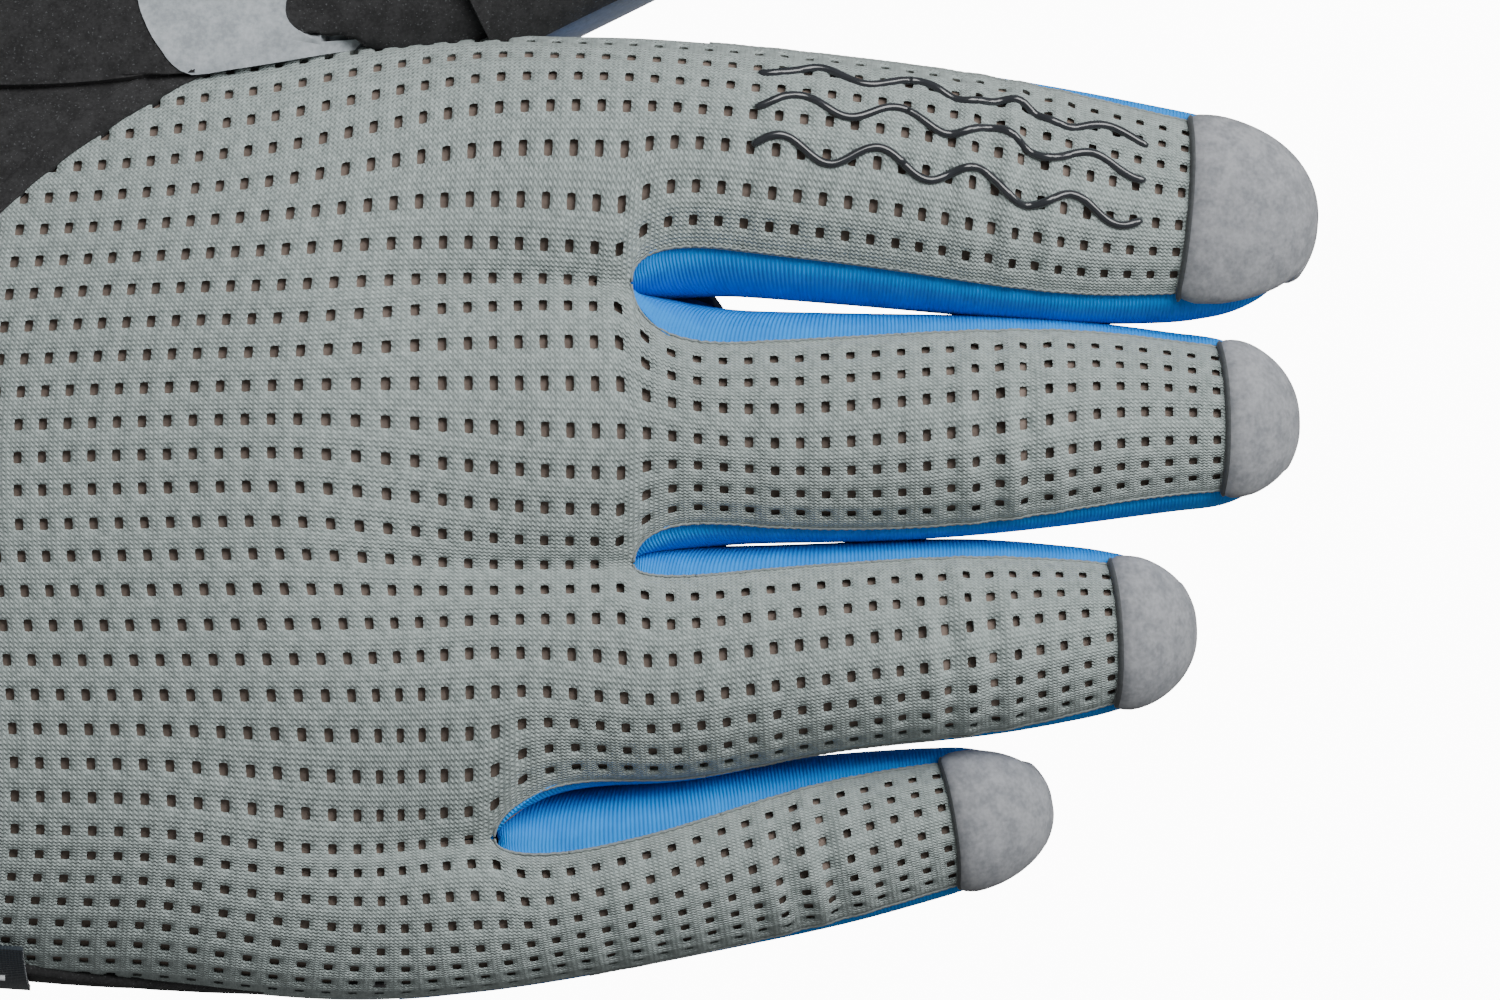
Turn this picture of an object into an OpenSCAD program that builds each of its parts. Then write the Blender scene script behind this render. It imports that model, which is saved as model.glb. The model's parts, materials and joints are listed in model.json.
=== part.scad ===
// Right-hand sailing glove, palm down, fingers along +X, thumb on the +Y side.
// Every panel is a thin shell cut from one set of rings: an oval tube for the hand and a
// tapered tube for each finger. Fingers fold on two hinges each, and the wrist strap peels open.

/* [Hand] */
// Half of the width across the knuckles
knuckle_half_w = 45.5; // [43:0.5:47]
// Half of the width at the wrist
wrist_half_w = 35; // [32:0.5:38]
// Half of the width at the open end of the cuff
cuff_half_w = 40; // [37:0.5:44]
// Height of the back of the hand over the knuckles
knuckle_top = 34; // [32:0.5:36]
// Height of the cuff at its open end
cuff_top = 43; // [40:0.5:46]
// Distance from the finger crotch back to the open end of the cuff
cuff_reach = 156; // [150:1:165]

/* [Fabric thickness] */
// Perforated knit of the back
knit_t = 1.2; // [0.9:0.1:1.5]
// Ribbed stretch fabric of the finger sides
stretch_t = 1.1; // [0.9:0.1:1.4]
// Synthetic suede of the palm, tips and thumb
suede_t = 1.4; // [1.1:0.1:1.7]
// Brushed foam-backed fabric of the wrist
wrist_t = 2; // [1.6:0.1:2.4]

/* [Folding] */
// How far each finger folds down at its base
base_fold = 65; // [40:1:65]
// How far each finger folds down at its middle
middle_fold = 75; // [40:1:75]
// How far a finger lifts at its base
base_lift = 15; // [5:1:15]
// How far a finger straightens past rest at its middle
middle_lift = 10; // [5:1:10]
// Gap between two panels on either side of a fold
fold_gap = 0.6; // [0.4:0.1:1]

/* [Strap] */
// Width of the wrist strap along the arm
strap_w = 27; // [22:1:30]
// Thickness of the strap
strap_t = 1.6; // [1.2:0.1:2]

/* [Hidden] */
FINGERS = ["index", "middle", "ring", "little"];

cuff_x = -cuff_reach;
wrist_x = cuff_x + 34;
palm_x = -80;
binding_len = 3.5;
loop_out = 7;         // outer radius of the hanging loop
knuckle_x = -26;
hand_n = 2.6;        // roundness of the hand's oval: 2 is an ellipse
finger_n = 2.3;      // roundness of a finger's oval
belly_z = 1.6;       // underside of the palm fabric, above the patches
join_gap = 0.7;      // degrees between two panels sewn edge to edge
seam_gap = 0.1;      // the same along a finger

// Hand oval along X: middle in y, half width, height of the back
hand_cy = [[cuff_x, 0], [wrist_x, -0.5], [palm_x, -2], [knuckle_x, -1.6]];
hand_hw = [[cuff_x, cuff_half_w], [wrist_x, wrist_half_w], [palm_x, 42], [knuckle_x, knuckle_half_w]];
hand_top = [[cuff_x, cuff_top], [wrist_x, 39], [palm_x, 37.5], [knuckle_x, knuckle_top]];

// Angles of the four seams that run down a finger, from the thumb side over the back
seam_back = 46;
seam_palm = 310;

// Thumb hole in the side of the hand: its middle, half length and half angle
hole_x = -52;
hole_half = 29;
hole_turn = 31;
side_turn = -6;      // where back and palm would meet on the thumb side
ulnar_back = 172;    // the little-finger side panel's two edges
ulnar_palm = 196;

// Back seam between the knit and the wrist panel: a curve, further back in the middle
back_seam_mid = -76;
back_seam_thumb = 58;
back_seam_little = 24;
back_edge_x = -44;   // where that seam meets the thumb hole

// A finger: name, base point, yaw, half widths, half heights, axis heights, roots (thumb side,
// little side), base fold, middle fold, start of the cap, length. Lengths run along its axis.
index_f = ["index", [0, 32.7], -5.1,
    [[-8, 11.5], [0, 11.9], [20, 11.9], [40, 11.1], [56, 9.9]],
    [[-8, 10], [0, 9.9], [20, 9.6], [40, 8.8], [56, 8.2]],
    [[-8, 19], [0, 18.2], [15, 17], [36, 15.2], [55, 10.4], [66, 8.9]],
    [-4, -4], 15, 36, 54.5, 65.5];
middle_f = ["middle", [0, 7], 0.5,
    [[-8, 11.2], [0, 11.3], [20, 10.9], [40, 10], [54, 8.9]],
    [[-8, 10], [0, 9.9], [20, 9.4], [40, 8.6], [54, 7.9]],
    [[-8, 20], [0, 18.8], [15, 17.2], [36, 15], [54, 10], [63, 8.7]],
    [-4, -4], 15, 36, 54.5, 63.5];
ring_f = ["ring", [0, -15.3], 3,
    [[-15, 10], [0, 10.4], [20, 9.9], [36, 9.3], [46, 8.6]],
    [[-15, 9.4], [0, 9.4], [20, 9], [36, 8.3], [46, 7.6]],
    [[-15, 18.6], [0, 17.8], [14, 16.2], [32, 13.8], [46, 10], [53, 8.5]],
    [-4, -15], 14, 32, 45, 53.5];
little_f = ["little", [-13, -38.4], 9.2,
    [[-6, 8.8], [0, 9], [20, 8.8], [34, 8.3], [44, 7.6]],
    [[-6, 8.3], [0, 8.3], [20, 8], [34, 7.5], [44, 7.1]],
    [[-6, 15.6], [0, 15], [14, 13.4], [30, 11], [44, 8.7], [53, 7.9]],
    [-4, -4], 14, 30, 43.5, 53];
thumb_f = ["thumb", [-14, 55.3], 26,
    [[-6, 11.6], [0, 11.5], [20, 11.1], [36, 9.8]],
    [[-6, 11.2], [0, 11], [20, 10.2], [36, 8.9]],
    [[-6, 13.6], [0, 13.3], [20, 12], [36, 10.2], [46, 9.6]],
    [-6, -6], 1, 20, 36, 46];
thumb_seams = [28, 152];   // the thumb's back panel runs between these
thumb_fold = 40;
thumb_tip_fold = 60;
thumb_lift = 10;

// The origin: middle of the whole glove's box, on the surface it lies on
origin_x = (cuff_x - binding_len - 2 * loop_out - 0.1 + index_f[10] * cos(index_f[2])) / 2;
origin_y = 16.6;

function se(c, n) = sign(c) * pow(abs(c), 2 / n);
function mix(a, b, t) = a + (b - a) * t;
function steps(n) = [for (k = [0 : n]) k / n];
function finger(name) = name == "index" ? index_f : name == "middle" ? middle_f
    : name == "ring" ? ring_f : name == "little" ? little_f : thumb_f;

// A point on the hand's oval, inset into the fabric
function hand_pt(x, turn, inset) =
    let (top = lookup(x, hand_top), half = (top - belly_z) / 2)
    [x, lookup(x, hand_cy) + (lookup(x, hand_hw) - inset) * se(cos(turn), hand_n),
     belly_z + half + (half - inset) * se(sin(turn), hand_n)];

// A point on a finger, in the glove's frame
function finger_pt(f, u, turn, inset) =
    let (y = (lookup(u, f[3]) - inset) * se(cos(turn), finger_n),
         z = lookup(u, f[5]) + (lookup(u, f[4]) - inset) * se(sin(turn), finger_n))
    [f[1][0] + u * cos(f[2]) - y * sin(f[2]), f[1][1] + u * sin(f[2]) + y * cos(f[2]), z];

// How far a ring beside a fold is cut back: more on the palm side, so the two sides never meet
function cut_back(f, u, turn, down, up) =
    let (rise = lookup(u, f[4]) * se(sin(turn), finger_n))
    fold_gap / 2 + max(0, -rise) * tan(down / 2) + max(0, rise) * tan(up / 2);

// One ring of a finger. A station is [u, side, down, up]; side is 1 just past a fold, -1 just
// before one, and 0 away from any
function finger_row(f, st, turns, inset) =
    [for (t = turns) finger_pt(f, st[0] + st[1] * cut_back(f, st[0], t, st[2], st[3]), t, inset)];

// The root of a finger, where the hand's panels run into it
function root_u(f, turn) = mix(f[6][0], f[6][1], (1 - cos(turn)) / 2);
function root_row(f, turns, inset) = [for (t = turns) finger_pt(f, root_u(f, t), t, inset)];

function flat(rows) = [for (r = rows) each r];
function quad(a, b, c, d) = [[a, b, c], [a, c, d]];

// A panel: a sheet of fabric between an outer and an inner grid of points
module panel(outer, inner) {
    ni = len(outer);
    nj = len(outer[0]);
    n = ni * nj;
    polyhedron(concat(flat(outer), flat(inner)), concat(
        [for (i = [0 : ni - 2], j = [0 : nj - 2]) each quad(i * nj + j, (i + 1) * nj + j,
            (i + 1) * nj + j + 1, i * nj + j + 1)],
        [for (i = [0 : ni - 2], j = [0 : nj - 2]) each quad(n + i * nj + j + 1, n + (i + 1) * nj + j + 1,
            n + (i + 1) * nj + j, n + i * nj + j)],
        [for (i = [0 : ni - 2]) each quad(i * nj, n + i * nj, n + (i + 1) * nj, (i + 1) * nj)],
        [for (i = [1 : ni - 1]) each quad(i * nj - 1, (i + 1) * nj - 1, n + (i + 1) * nj - 1, n + i * nj - 1)],
        [for (j = [0 : nj - 2]) each quad(j, j + 1, n + j + 1, n + j)],
        [for (j = [n - nj : n - 2]) each quad(j, n + j, n + j + 1, j + 1)]), convexity = 6);
}

// A sleeve: the same, closed all the way round. The last ring may be capped by a pole
module sleeve(outer, inner, poles = []) {
    ni = len(outer);
    nj = len(outer[0]);
    n = ni * nj;
    capped = len(poles) > 0;
    polyhedron(concat(flat(outer), flat(inner), poles), concat(
        [for (i = [0 : ni - 2], j = [0 : nj - 1]) let (k = (j + 1) % nj)
            each quad(i * nj + j, (i + 1) * nj + j, (i + 1) * nj + k, i * nj + k)],
        [for (i = [0 : ni - 2], j = [0 : nj - 1]) let (k = (j + 1) % nj)
            each quad(n + i * nj + k, n + (i + 1) * nj + k, n + (i + 1) * nj + j, n + i * nj + j)],
        [for (j = [0 : nj - 1]) let (k = (j + 1) % nj) each quad(j, k, n + k, n + j)],
        [for (j = [0 : nj - 1]) let (a = n - nj + j, b = n - nj + (j + 1) % nj)
            each capped ? [[a, 2 * n, b], [n + b, 2 * n + 1, n + a]] : quad(a, n + a, n + b, b)]), convexity = 6);
}

module in_place() translate([-origin_x, -origin_y, 0]) children();

// ---- Hand ----

// Edge of the thumb hole on the hand's oval, above (side 1) or below (side -1) its middle
function hole_edge(x, side) = side_turn + side * (join_gap + hole_turn *
    sqrt(max(0, 1 - pow((x - hole_x) / hole_half, 2))));
function back_seam(turn) = back_seam_mid + (turn < 90 ? back_seam_thumb : back_seam_little) * (1 - sin(turn));

// Turns across the back at x, from the thumb side's edge to the little side's
lanes = 4;
lane_cols = 3;
cols = lanes * (lane_cols + 1);
function back_turns(x) = [for (k = [0 : cols - 1]) mix(hole_edge(x, 1), ulnar_back - join_gap, k / (cols - 1))];
function palm_turns(x) = [for (k = [0 : cols - 1]) mix(ulnar_palm + join_gap, 360 + hole_edge(x, -1), k / (cols - 1))];
// The four finger roots side by side, as the last row of the back and of the palm
function back_roots(inset) = [for (name = FINGERS) each root_row(finger(name),
    [for (k = steps(lane_cols)) mix(seam_back + join_gap, 180 - seam_back - join_gap, k)], inset)];
function palm_roots(inset) = [for (i = [3 : -1 : 0]) each root_row(finger(FINGERS[i]),
    [for (k = steps(lane_cols)) mix(540 - seam_palm + join_gap, seam_palm - join_gap, k)], inset)];

function back_mesh_rows(inset) = concat(
    [for (s = steps(3)) [for (t = back_turns(mix(back_edge_x, knuckle_x, s)))
        hand_pt(mix(back_seam(t) + 0.1, knuckle_x, s), t, inset)]],
    [back_roots(inset)]);
// rings straight across as far as arm_x, then curving round to the seam
arm_x = -106;
function wrist_back_rows(inset) = concat(
    [for (x = [cuff_x, mix(cuff_x, wrist_x, 0.5), wrist_x, arm_x]) [for (t = back_turns(x)) hand_pt(x, t, inset)]],
    [for (s = [0.22, 0.42, 0.62, 0.81, 1]) [for (t = back_turns(mix(arm_x, back_edge_x, s)))
        hand_pt(mix(arm_x, back_seam(t) - seam_gap, s), t, inset)]]);
heel_x = -116;
function palm_rows(inset) = concat(
    [for (x = [heel_x + 0.1, -98, -81, -74, -64, hole_x, -40, -30, knuckle_x])
        [for (t = palm_turns(x)) hand_pt(x, t, inset)]], [palm_roots(inset)]);

// The stub of each finger that stays with the hand, from its root to its base fold
module stub(f, from, to, inset) {
    turns = [for (k = steps(4)) mix(from, to, k)];
    function rows(i) = concat([[for (t = turns) finger_pt(f, root_u(f, t) + seam_gap, t, i)]],
        [finger_row(f, [f[7], -1, base_fold, base_lift], turns, i)]);
    panel(rows(0), rows(inset));
}

module back_mesh() color([0.57, 0.6, 0.6]) in_place() {
    panel(back_mesh_rows(0), back_mesh_rows(knit_t));
    for (name = FINGERS) stub(finger(name), seam_back + join_gap, 180 - seam_back - join_gap, knit_t);
}
module palm_panel() color([0.5, 0.52, 0.55]) in_place() {
    panel(palm_rows(0), palm_rows(suede_t));
    for (name = FINGERS) stub(finger(name), 540 - seam_palm + join_gap, seam_palm - join_gap, suede_t);
}
module wrist_back_panel() color([0.08, 0.08, 0.08]) in_place()
    panel(wrist_back_rows(0), wrist_back_rows(wrist_t));
module wrist_palm_panel() {
    function rows(inset) = [for (x = [cuff_x, mix(cuff_x, wrist_x, 0.5), wrist_x, heel_x - 0.1])
        [for (t = palm_turns(x)) hand_pt(x, t, inset)]];
    color([0.08, 0.08, 0.08]) in_place()
        panel(rows(0), rows(wrist_t));
}
module ulnar_side_panel() {
    function rows(inset) = [for (x = [cuff_x, mix(cuff_x, wrist_x, 0.5), wrist_x, -100, palm_x, -54, knuckle_x - 0.2])
        [for (k = steps(3)) hand_pt(x, mix(ulnar_back, ulnar_palm, k), inset)]];
    color([0.08, 0.08, 0.08]) in_place()
        panel(rows(0), rows(wrist_t));
}

// ---- Finger sides in the hand ----

index_side_x = -22.5;    // where the index finger's outer side starts, just past the thumb hole
module index_outer_side() {
    turns = [for (k = steps(4)) mix(seam_palm - 360, seam_back, k)];
    function rows(inset) = [
        [for (k = steps(4)) hand_pt(index_side_x, mix(side_turn - 2, side_turn + 2, k), inset)],
        root_row(index_f, turns, inset),
        finger_row(index_f, [index_f[7], -1, base_fold, base_lift], turns, inset)];
    color([0.03, 0.5, 0.9]) in_place()
        panel(rows(0), rows(stretch_t));
}
module little_outer_side() {
    turns = [for (k = steps(4)) mix(180 - seam_back, 540 - seam_palm, k)];
    function rows(inset) = [
        [for (k = steps(4)) hand_pt(knuckle_x + 0.2, mix(ulnar_back, ulnar_palm, k), inset)],
        root_row(little_f, turns, inset),
        finger_row(little_f, [little_f[7], -1, base_fold, base_lift], turns, inset)];
    color([0.03, 0.5, 0.9]) in_place()
        panel(rows(0), rows(stretch_t));
}

// The strip between two fingers, from one base fold down into the crotch and out to the next
web_slant = 8;       // the crotch lies further out on the palm side
web_depth = [4.5, 1.5];
module fourchette(fa, fb, ua, ub) {
    function row(v, inset) =
        let (ta = mix(180 - seam_back, 540 - seam_palm, v), tb = mix(seam_back, seam_palm - 360, v),
             wa = ua + web_slant * v, wb = ub + web_slant * v,
             a = finger_pt(fa, wa, ta, inset), b = finger_pt(fb, wb, tb, inset),
             ea = fa[7] - cut_back(fa, fa[7], ta, base_fold, base_lift),
             eb = fb[7] - cut_back(fb, fb[7], tb, base_fold, base_lift),
             middle = (finger_pt(fa, wa, ta, 0) + finger_pt(fb, wb, tb, 0)) / 2
                 - [mix(web_depth[0], web_depth[1], v) + inset, 0, 0])
        [finger_pt(fa, ea, ta, inset), finger_pt(fa, mix(ea, wa, 0.6), ta, inset), a, middle, b,
         finger_pt(fb, mix(eb, wb, 0.6), tb, inset), finger_pt(fb, eb, tb, inset)];
    panel([for (v = steps(4)) row(v, 0)], [for (v = steps(4)) row(v, stretch_t)]);
}
module fourchette_index_middle() color([0.03, 0.5, 0.9]) in_place() fourchette(index_f, middle_f, 0, 0);
module fourchette_middle_ring() color([0.03, 0.5, 0.9]) in_place() fourchette(middle_f, ring_f, 0, 0);
module fourchette_ring_little() color([0.03, 0.5, 0.9]) in_place() fourchette(ring_f, little_f, -11, 0);

// ---- Fingers ----

module finger_panels(f, stations, ranges, t) {
    for (r = ranges) {
        turns = [for (k = steps(4)) mix(r[0] + join_gap, r[1] - join_gap, k)];
        panel([for (s = stations) finger_row(f, s, turns, 0)], [for (s = stations) finger_row(f, s, turns, t)]);
    }
}
function lower_stations(f, down1, up1, down2, up2) =
    [[f[7], 1, down1, up1], [(f[7] + f[8]) / 2, 0, 0, 0], [f[8], -1, down2, up2]];
function upper_stations(f, down2, up2) =
    [[f[8], 1, down2, up2], [mix(f[8], f[9], 0.6), 0, 0, 0], [f[9], 0, 0, 0]];
back_range = [[seam_back, 180 - seam_back]];
palm_range = [[540 - seam_palm, seam_palm]];
side_range = [[180 - seam_back, 540 - seam_palm], [seam_palm - 360, seam_back]];

module finger_piece(name, kind, level) {
    f = finger(name);
    stations = level == "lower" ? lower_stations(f, base_fold, base_lift, middle_fold, middle_lift)
        : upper_stations(f, middle_fold, middle_lift);
    range = kind == "back" ? back_range : kind == "palm" ? palm_range : side_range;
    tint = kind == "back" ? [0.57, 0.6, 0.6] : kind == "palm" ? [0.5, 0.52, 0.55] : [0.03, 0.5, 0.9];
    t = kind == "back" ? knit_t : kind == "palm" ? suede_t : stretch_t;
    color(tint) in_place() finger_panels(f, stations, range, t);
}

// Rings of a rounded tip from u0 to the finger's end; deep says how far the inside stays back
cap_angles = [0, 28, 52, 72];
ring_cols = 16;
function cap_rings(f, u0, inset) = let (reach = f[10] - u0 - inset)
    [for (a = cap_angles) let (u = u0 + reach * sin(a), size = pow(cos(a), 0.9))
        [for (k = [0 : ring_cols - 1]) let (t = k * 360 / ring_cols,
            axis = [f[1][0] + u * cos(f[2]), f[1][1] + u * sin(f[2]), lookup(u, f[5])])
            axis + (finger_pt(f, u, t, inset) - axis) * size]];
function cap_pole(f, inset) = let (u = f[10] - inset)
    [f[1][0] + u * cos(f[2]), f[1][1] + u * sin(f[2]), lookup(u, f[5])];
module tip_cap(name) {
    f = finger(name);
    u0 = f[9] + 0.15;
    color([0.6, 0.62, 0.64]) in_place()
        sleeve(cap_rings(f, u0, 0), cap_rings(f, u0, suede_t), [cap_pole(f, 0), cap_pole(f, suede_t)]);
}

// ---- Thumb ----

// The gusset runs from inside the thumb hole out to the thumb's base fold
gusset_shrink = 0.86;
module thumb_gusset() {
    turns = [for (k = [0 : ring_cols - 1]) k * 360 / ring_cols];
    function mouth(inset) = [for (t = turns) hand_pt(hole_x - (hole_half - 1.5) * gusset_shrink * cos(t),
        side_turn + hole_turn * gusset_shrink * sin(t), inset)];
    function ring(inset) = [for (t = turns) finger_pt(thumb_f, thumb_f[7] - cut_back(thumb_f, 0, t, thumb_fold, thumb_lift), t, inset)];
    // the rings between the mouth and the fold swell outwards, as the ball of the thumb does
    function between(s, inset) = let (m = mouth(0), r = ring(0), n = ring(suede_t))
        [for (k = [0 : ring_cols - 1]) mix(m[k], r[k], s) + [0, 3 * sin(s * 180), 0] + (n[k] - r[k]) * inset / suede_t];
    color([0.62, 0.64, 0.67]) in_place()
        sleeve([between(0.06, 0), between(0.35, 0), between(0.7, 0), ring(0)],
        [between(0.06, suede_t), between(0.35, suede_t), between(0.7, suede_t), ring(suede_t)]);
}
thumb_back_range = [thumb_seams];
thumb_palm_range = [[thumb_seams[1], thumb_seams[0] + 360]];
module thumb_piece(kind, level) {
    stations = level == "lower" ? lower_stations(thumb_f, thumb_fold, thumb_lift, thumb_tip_fold, thumb_lift)
        : upper_stations(thumb_f, thumb_tip_fold, thumb_lift);
    color(kind == "back" ? [0.08, 0.08, 0.08] : [0.5, 0.52, 0.55]) in_place() {
        if (kind == "back") finger_panels(thumb_f, stations, thumb_back_range, suede_t);
        else {
            // three panels side by side make the wrap, so that its rings stay round
            ends = [thumb_seams[1], 210, 330, thumb_seams[0] + 360];
            turns = [for (i = [0 : 2]) each [for (k = [0 : 3]) mix(ends[i], ends[i + 1], k / 4)]];
            all = concat([turns[0] + join_gap], [for (i = [1 : len(turns) - 1]) turns[i]],
                [thumb_seams[0] + 360 - join_gap]);
            panel([for (s = stations) finger_row(thumb_f, s, all, 0)],
                [for (s = stations) finger_row(thumb_f, s, all, suede_t)]);
        }
    }
}

// ---- Patches, binding, label ----

// Flat suede patches that the glove lies on
patch_t = 1.4;
module flat_patch(x0, x1, y0, y1, r) in_place() translate([0, 0, 0]) linear_extrude(patch_t)
    hull() for (x = [x0 + r, x1 - r], y = [y0 + r, y1 - r]) translate([x, y]) circle(r, $fn = 32);
module palm_patch() color([0.2, 0.21, 0.22]) flat_patch(-70, -24, -34, 28, 9);
module heel_patch() color([0.2, 0.21, 0.22]) flat_patch(-110, -76, -27, 22, 9);

binding_t = 2.6;
module cuff_binding() {
    turns = [for (k = [0 : 31]) k * 360 / 32];
    function ring(x, inset) = [for (t = turns) let (p = hand_pt(cuff_x, t, inset)) [x, p[1], p[2]]];
    color([0.05, 0.05, 0.05]) in_place()
        sleeve([ring(cuff_x - binding_len, -0.4), ring(cuff_x - 0.1, -0.4)],
        [ring(cuff_x - binding_len, binding_t - 0.4), ring(cuff_x - 0.1, binding_t - 0.4)]);
}

// A patch that follows the hand's oval, lifted off it by lift and t thick
module wrap_patch(x0, x1, turn0, turn1, lift, t, n = 6, skew = 0) {
    function rows(inset) = [for (s = steps(2)) [for (k = steps(n))
        hand_pt(mix(x0, x1, s) + skew * k, mix(turn0, turn1, k), inset)]];
    panel(rows(-lift - t), rows(-lift));
}
strap_x = wrist_x - 14;
strap_turns = [38, 150];
layer_gap = 0.35;
hook_t = 0.8;
loop_t = 0.9;
strap_lift = loop_t + hook_t + 3 * layer_gap;
anchor_turn = 6;      // how far the sewn end of the strap runs past its fold
module closure_strap() color([0.1, 0.1, 0.11]) in_place()
    wrap_patch(strap_x, strap_x + strap_w, strap_turns[0], strap_turns[1], strap_lift, strap_t, 12);
module strap_hook_patch() color([0.02, 0.02, 0.02]) in_place()
    wrap_patch(strap_x + 2, strap_x + strap_w - 2, 42, 84, loop_t + 2 * layer_gap, hook_t, 5);
module strap_loop_patch() color([0.03, 0.03, 0.03]) in_place()
    wrap_patch(strap_x + 1, strap_x + strap_w - 1, 40, 112, layer_gap, loop_t, 8);
module strap_anchor() color([0.1, 0.1, 0.11]) in_place()
    wrap_patch(strap_x, strap_x + strap_w, strap_turns[1] + 0.6, strap_turns[1] + 0.6 + anchor_turn,
        layer_gap, strap_lift + strap_t - layer_gap, 2);
module strap_pull_tab() color([0.12, 0.3, 0.42]) in_place()
    wrap_patch(strap_x + 4, strap_x + strap_w - 4, 27, strap_turns[0] - 0.4, strap_lift, strap_t + 0.4, 3);

module woven_label() color([0.05, 0.09, 0.13]) in_place()
    wrap_patch(-76, -60, 152, 171, 0.4, 0.7, 4, 7);
module care_label() color([0.85, 0.86, 0.87]) in_place()
    wrap_patch(cuff_x + 3, cuff_x + 22, 244, 262, -wrist_t - 0.9, 0.6, 3);

// A loop of webbing at the back of the cuff, to hang the glove by
loop_wall = 1.4;
loop_w = 8;
module hang_loop() color([0.06, 0.06, 0.06]) in_place()
    translate([cuff_x - binding_len - loop_out - 0.1, -loop_w / 2, cuff_top - loop_out + 0.2])
        rotate([-90, 0, 0]) linear_extrude(loop_w) difference() {
            circle(loop_out, $fn = 48);
            circle(loop_out - loop_wall, $fn = 48);
        }

// Raised print along the back of the index finger
print_turn = 13;
print_rise = 0.7;
module wave_print(u0, u1) in_place() {
    turns = [for (k = steps(3)) mix(90 - print_turn, 90 + print_turn, k)];
    stations = [for (k = steps(2)) [mix(u0, u1, k), 0, 0, 0]];
    panel([for (s = stations) finger_row(index_f, s, turns, -print_rise)],
        [for (s = stations) finger_row(index_f, s, turns, -0.1)]);
}
module wave_print_lower() color([0.15, 0.16, 0.18]) wave_print(18, 33);
module wave_print_upper() color([0.15, 0.16, 0.18]) wave_print(39, 50);

back_mesh();
wrist_back_panel();
palm_panel();
wrist_palm_panel();
ulnar_side_panel();
thumb_gusset();
index_outer_side();
little_outer_side();
fourchette_index_middle();
fourchette_middle_ring();
fourchette_ring_little();
palm_patch();
heel_patch();
cuff_binding();
strap_anchor();
strap_loop_patch();
woven_label();
care_label();
hang_loop();
for (f = FINGERS, level = ["lower", "upper"], kind = ["back", "sides", "palm"])
    finger_piece(f, kind, level);
for (f = FINGERS)
    tip_cap(f);
for (level = ["lower", "upper"], kind = ["back", "palm"])
    thumb_piece(kind, level);
tip_cap("thumb");  // thumb_tip_cap
wave_print_lower();
wave_print_upper();
closure_strap();
strap_hook_patch();
strap_pull_tab();
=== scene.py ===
import bpy
import json
import math
import mathutils
import numpy as np
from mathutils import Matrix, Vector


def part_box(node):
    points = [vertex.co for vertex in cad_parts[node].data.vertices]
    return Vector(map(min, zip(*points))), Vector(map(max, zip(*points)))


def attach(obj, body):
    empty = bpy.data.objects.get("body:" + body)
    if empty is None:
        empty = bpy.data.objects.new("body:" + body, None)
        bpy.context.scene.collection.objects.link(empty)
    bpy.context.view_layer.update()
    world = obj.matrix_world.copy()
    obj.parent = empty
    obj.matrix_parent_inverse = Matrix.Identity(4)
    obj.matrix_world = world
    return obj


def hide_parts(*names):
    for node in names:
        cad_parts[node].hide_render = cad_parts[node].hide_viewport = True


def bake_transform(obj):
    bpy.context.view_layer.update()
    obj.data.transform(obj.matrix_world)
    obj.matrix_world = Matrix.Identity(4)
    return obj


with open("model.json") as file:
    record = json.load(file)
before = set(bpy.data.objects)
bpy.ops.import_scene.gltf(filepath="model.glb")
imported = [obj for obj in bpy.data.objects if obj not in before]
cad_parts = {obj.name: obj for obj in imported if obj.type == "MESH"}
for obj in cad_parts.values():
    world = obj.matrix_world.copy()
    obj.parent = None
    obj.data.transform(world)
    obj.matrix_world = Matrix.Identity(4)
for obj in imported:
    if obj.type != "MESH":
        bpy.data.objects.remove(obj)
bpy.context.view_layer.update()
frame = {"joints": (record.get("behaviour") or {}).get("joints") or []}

# Shape of the hand: lengths in millimetres from the middle finger's crotch, +X to the fingertips

bodyShape = {
    "handWide": [[-156, 40], [-122, 35], [-80, 42], [-52, 44.6], [-26, 45.5], [0, 45.6]],   # half widths
    "handTop": [[-156, 43], [-122, 39], [-80, 37.5], [-26, 34], [0, 30.5]],
    "handMiddle": [[-156, 0], [-122, -0.5], [-80, -2], [-26, -1.6], [0, -1.6]],
    "belly": 1.6,                       # underside of the palm
    "handRound": 2.6, "fingerRound": 2.3,   # 2 is an oval, more is squarer
    "backEnd": 172, "palmEnd": 196,     # turns where both end on the little finger's side
    "palmSeams": (310, 230),            # turns of the seams between a finger's palm strip and its sides
    "root": -36, "rootReach": 38,       # where a finger's shape begins to take over, and over what length
}
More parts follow.
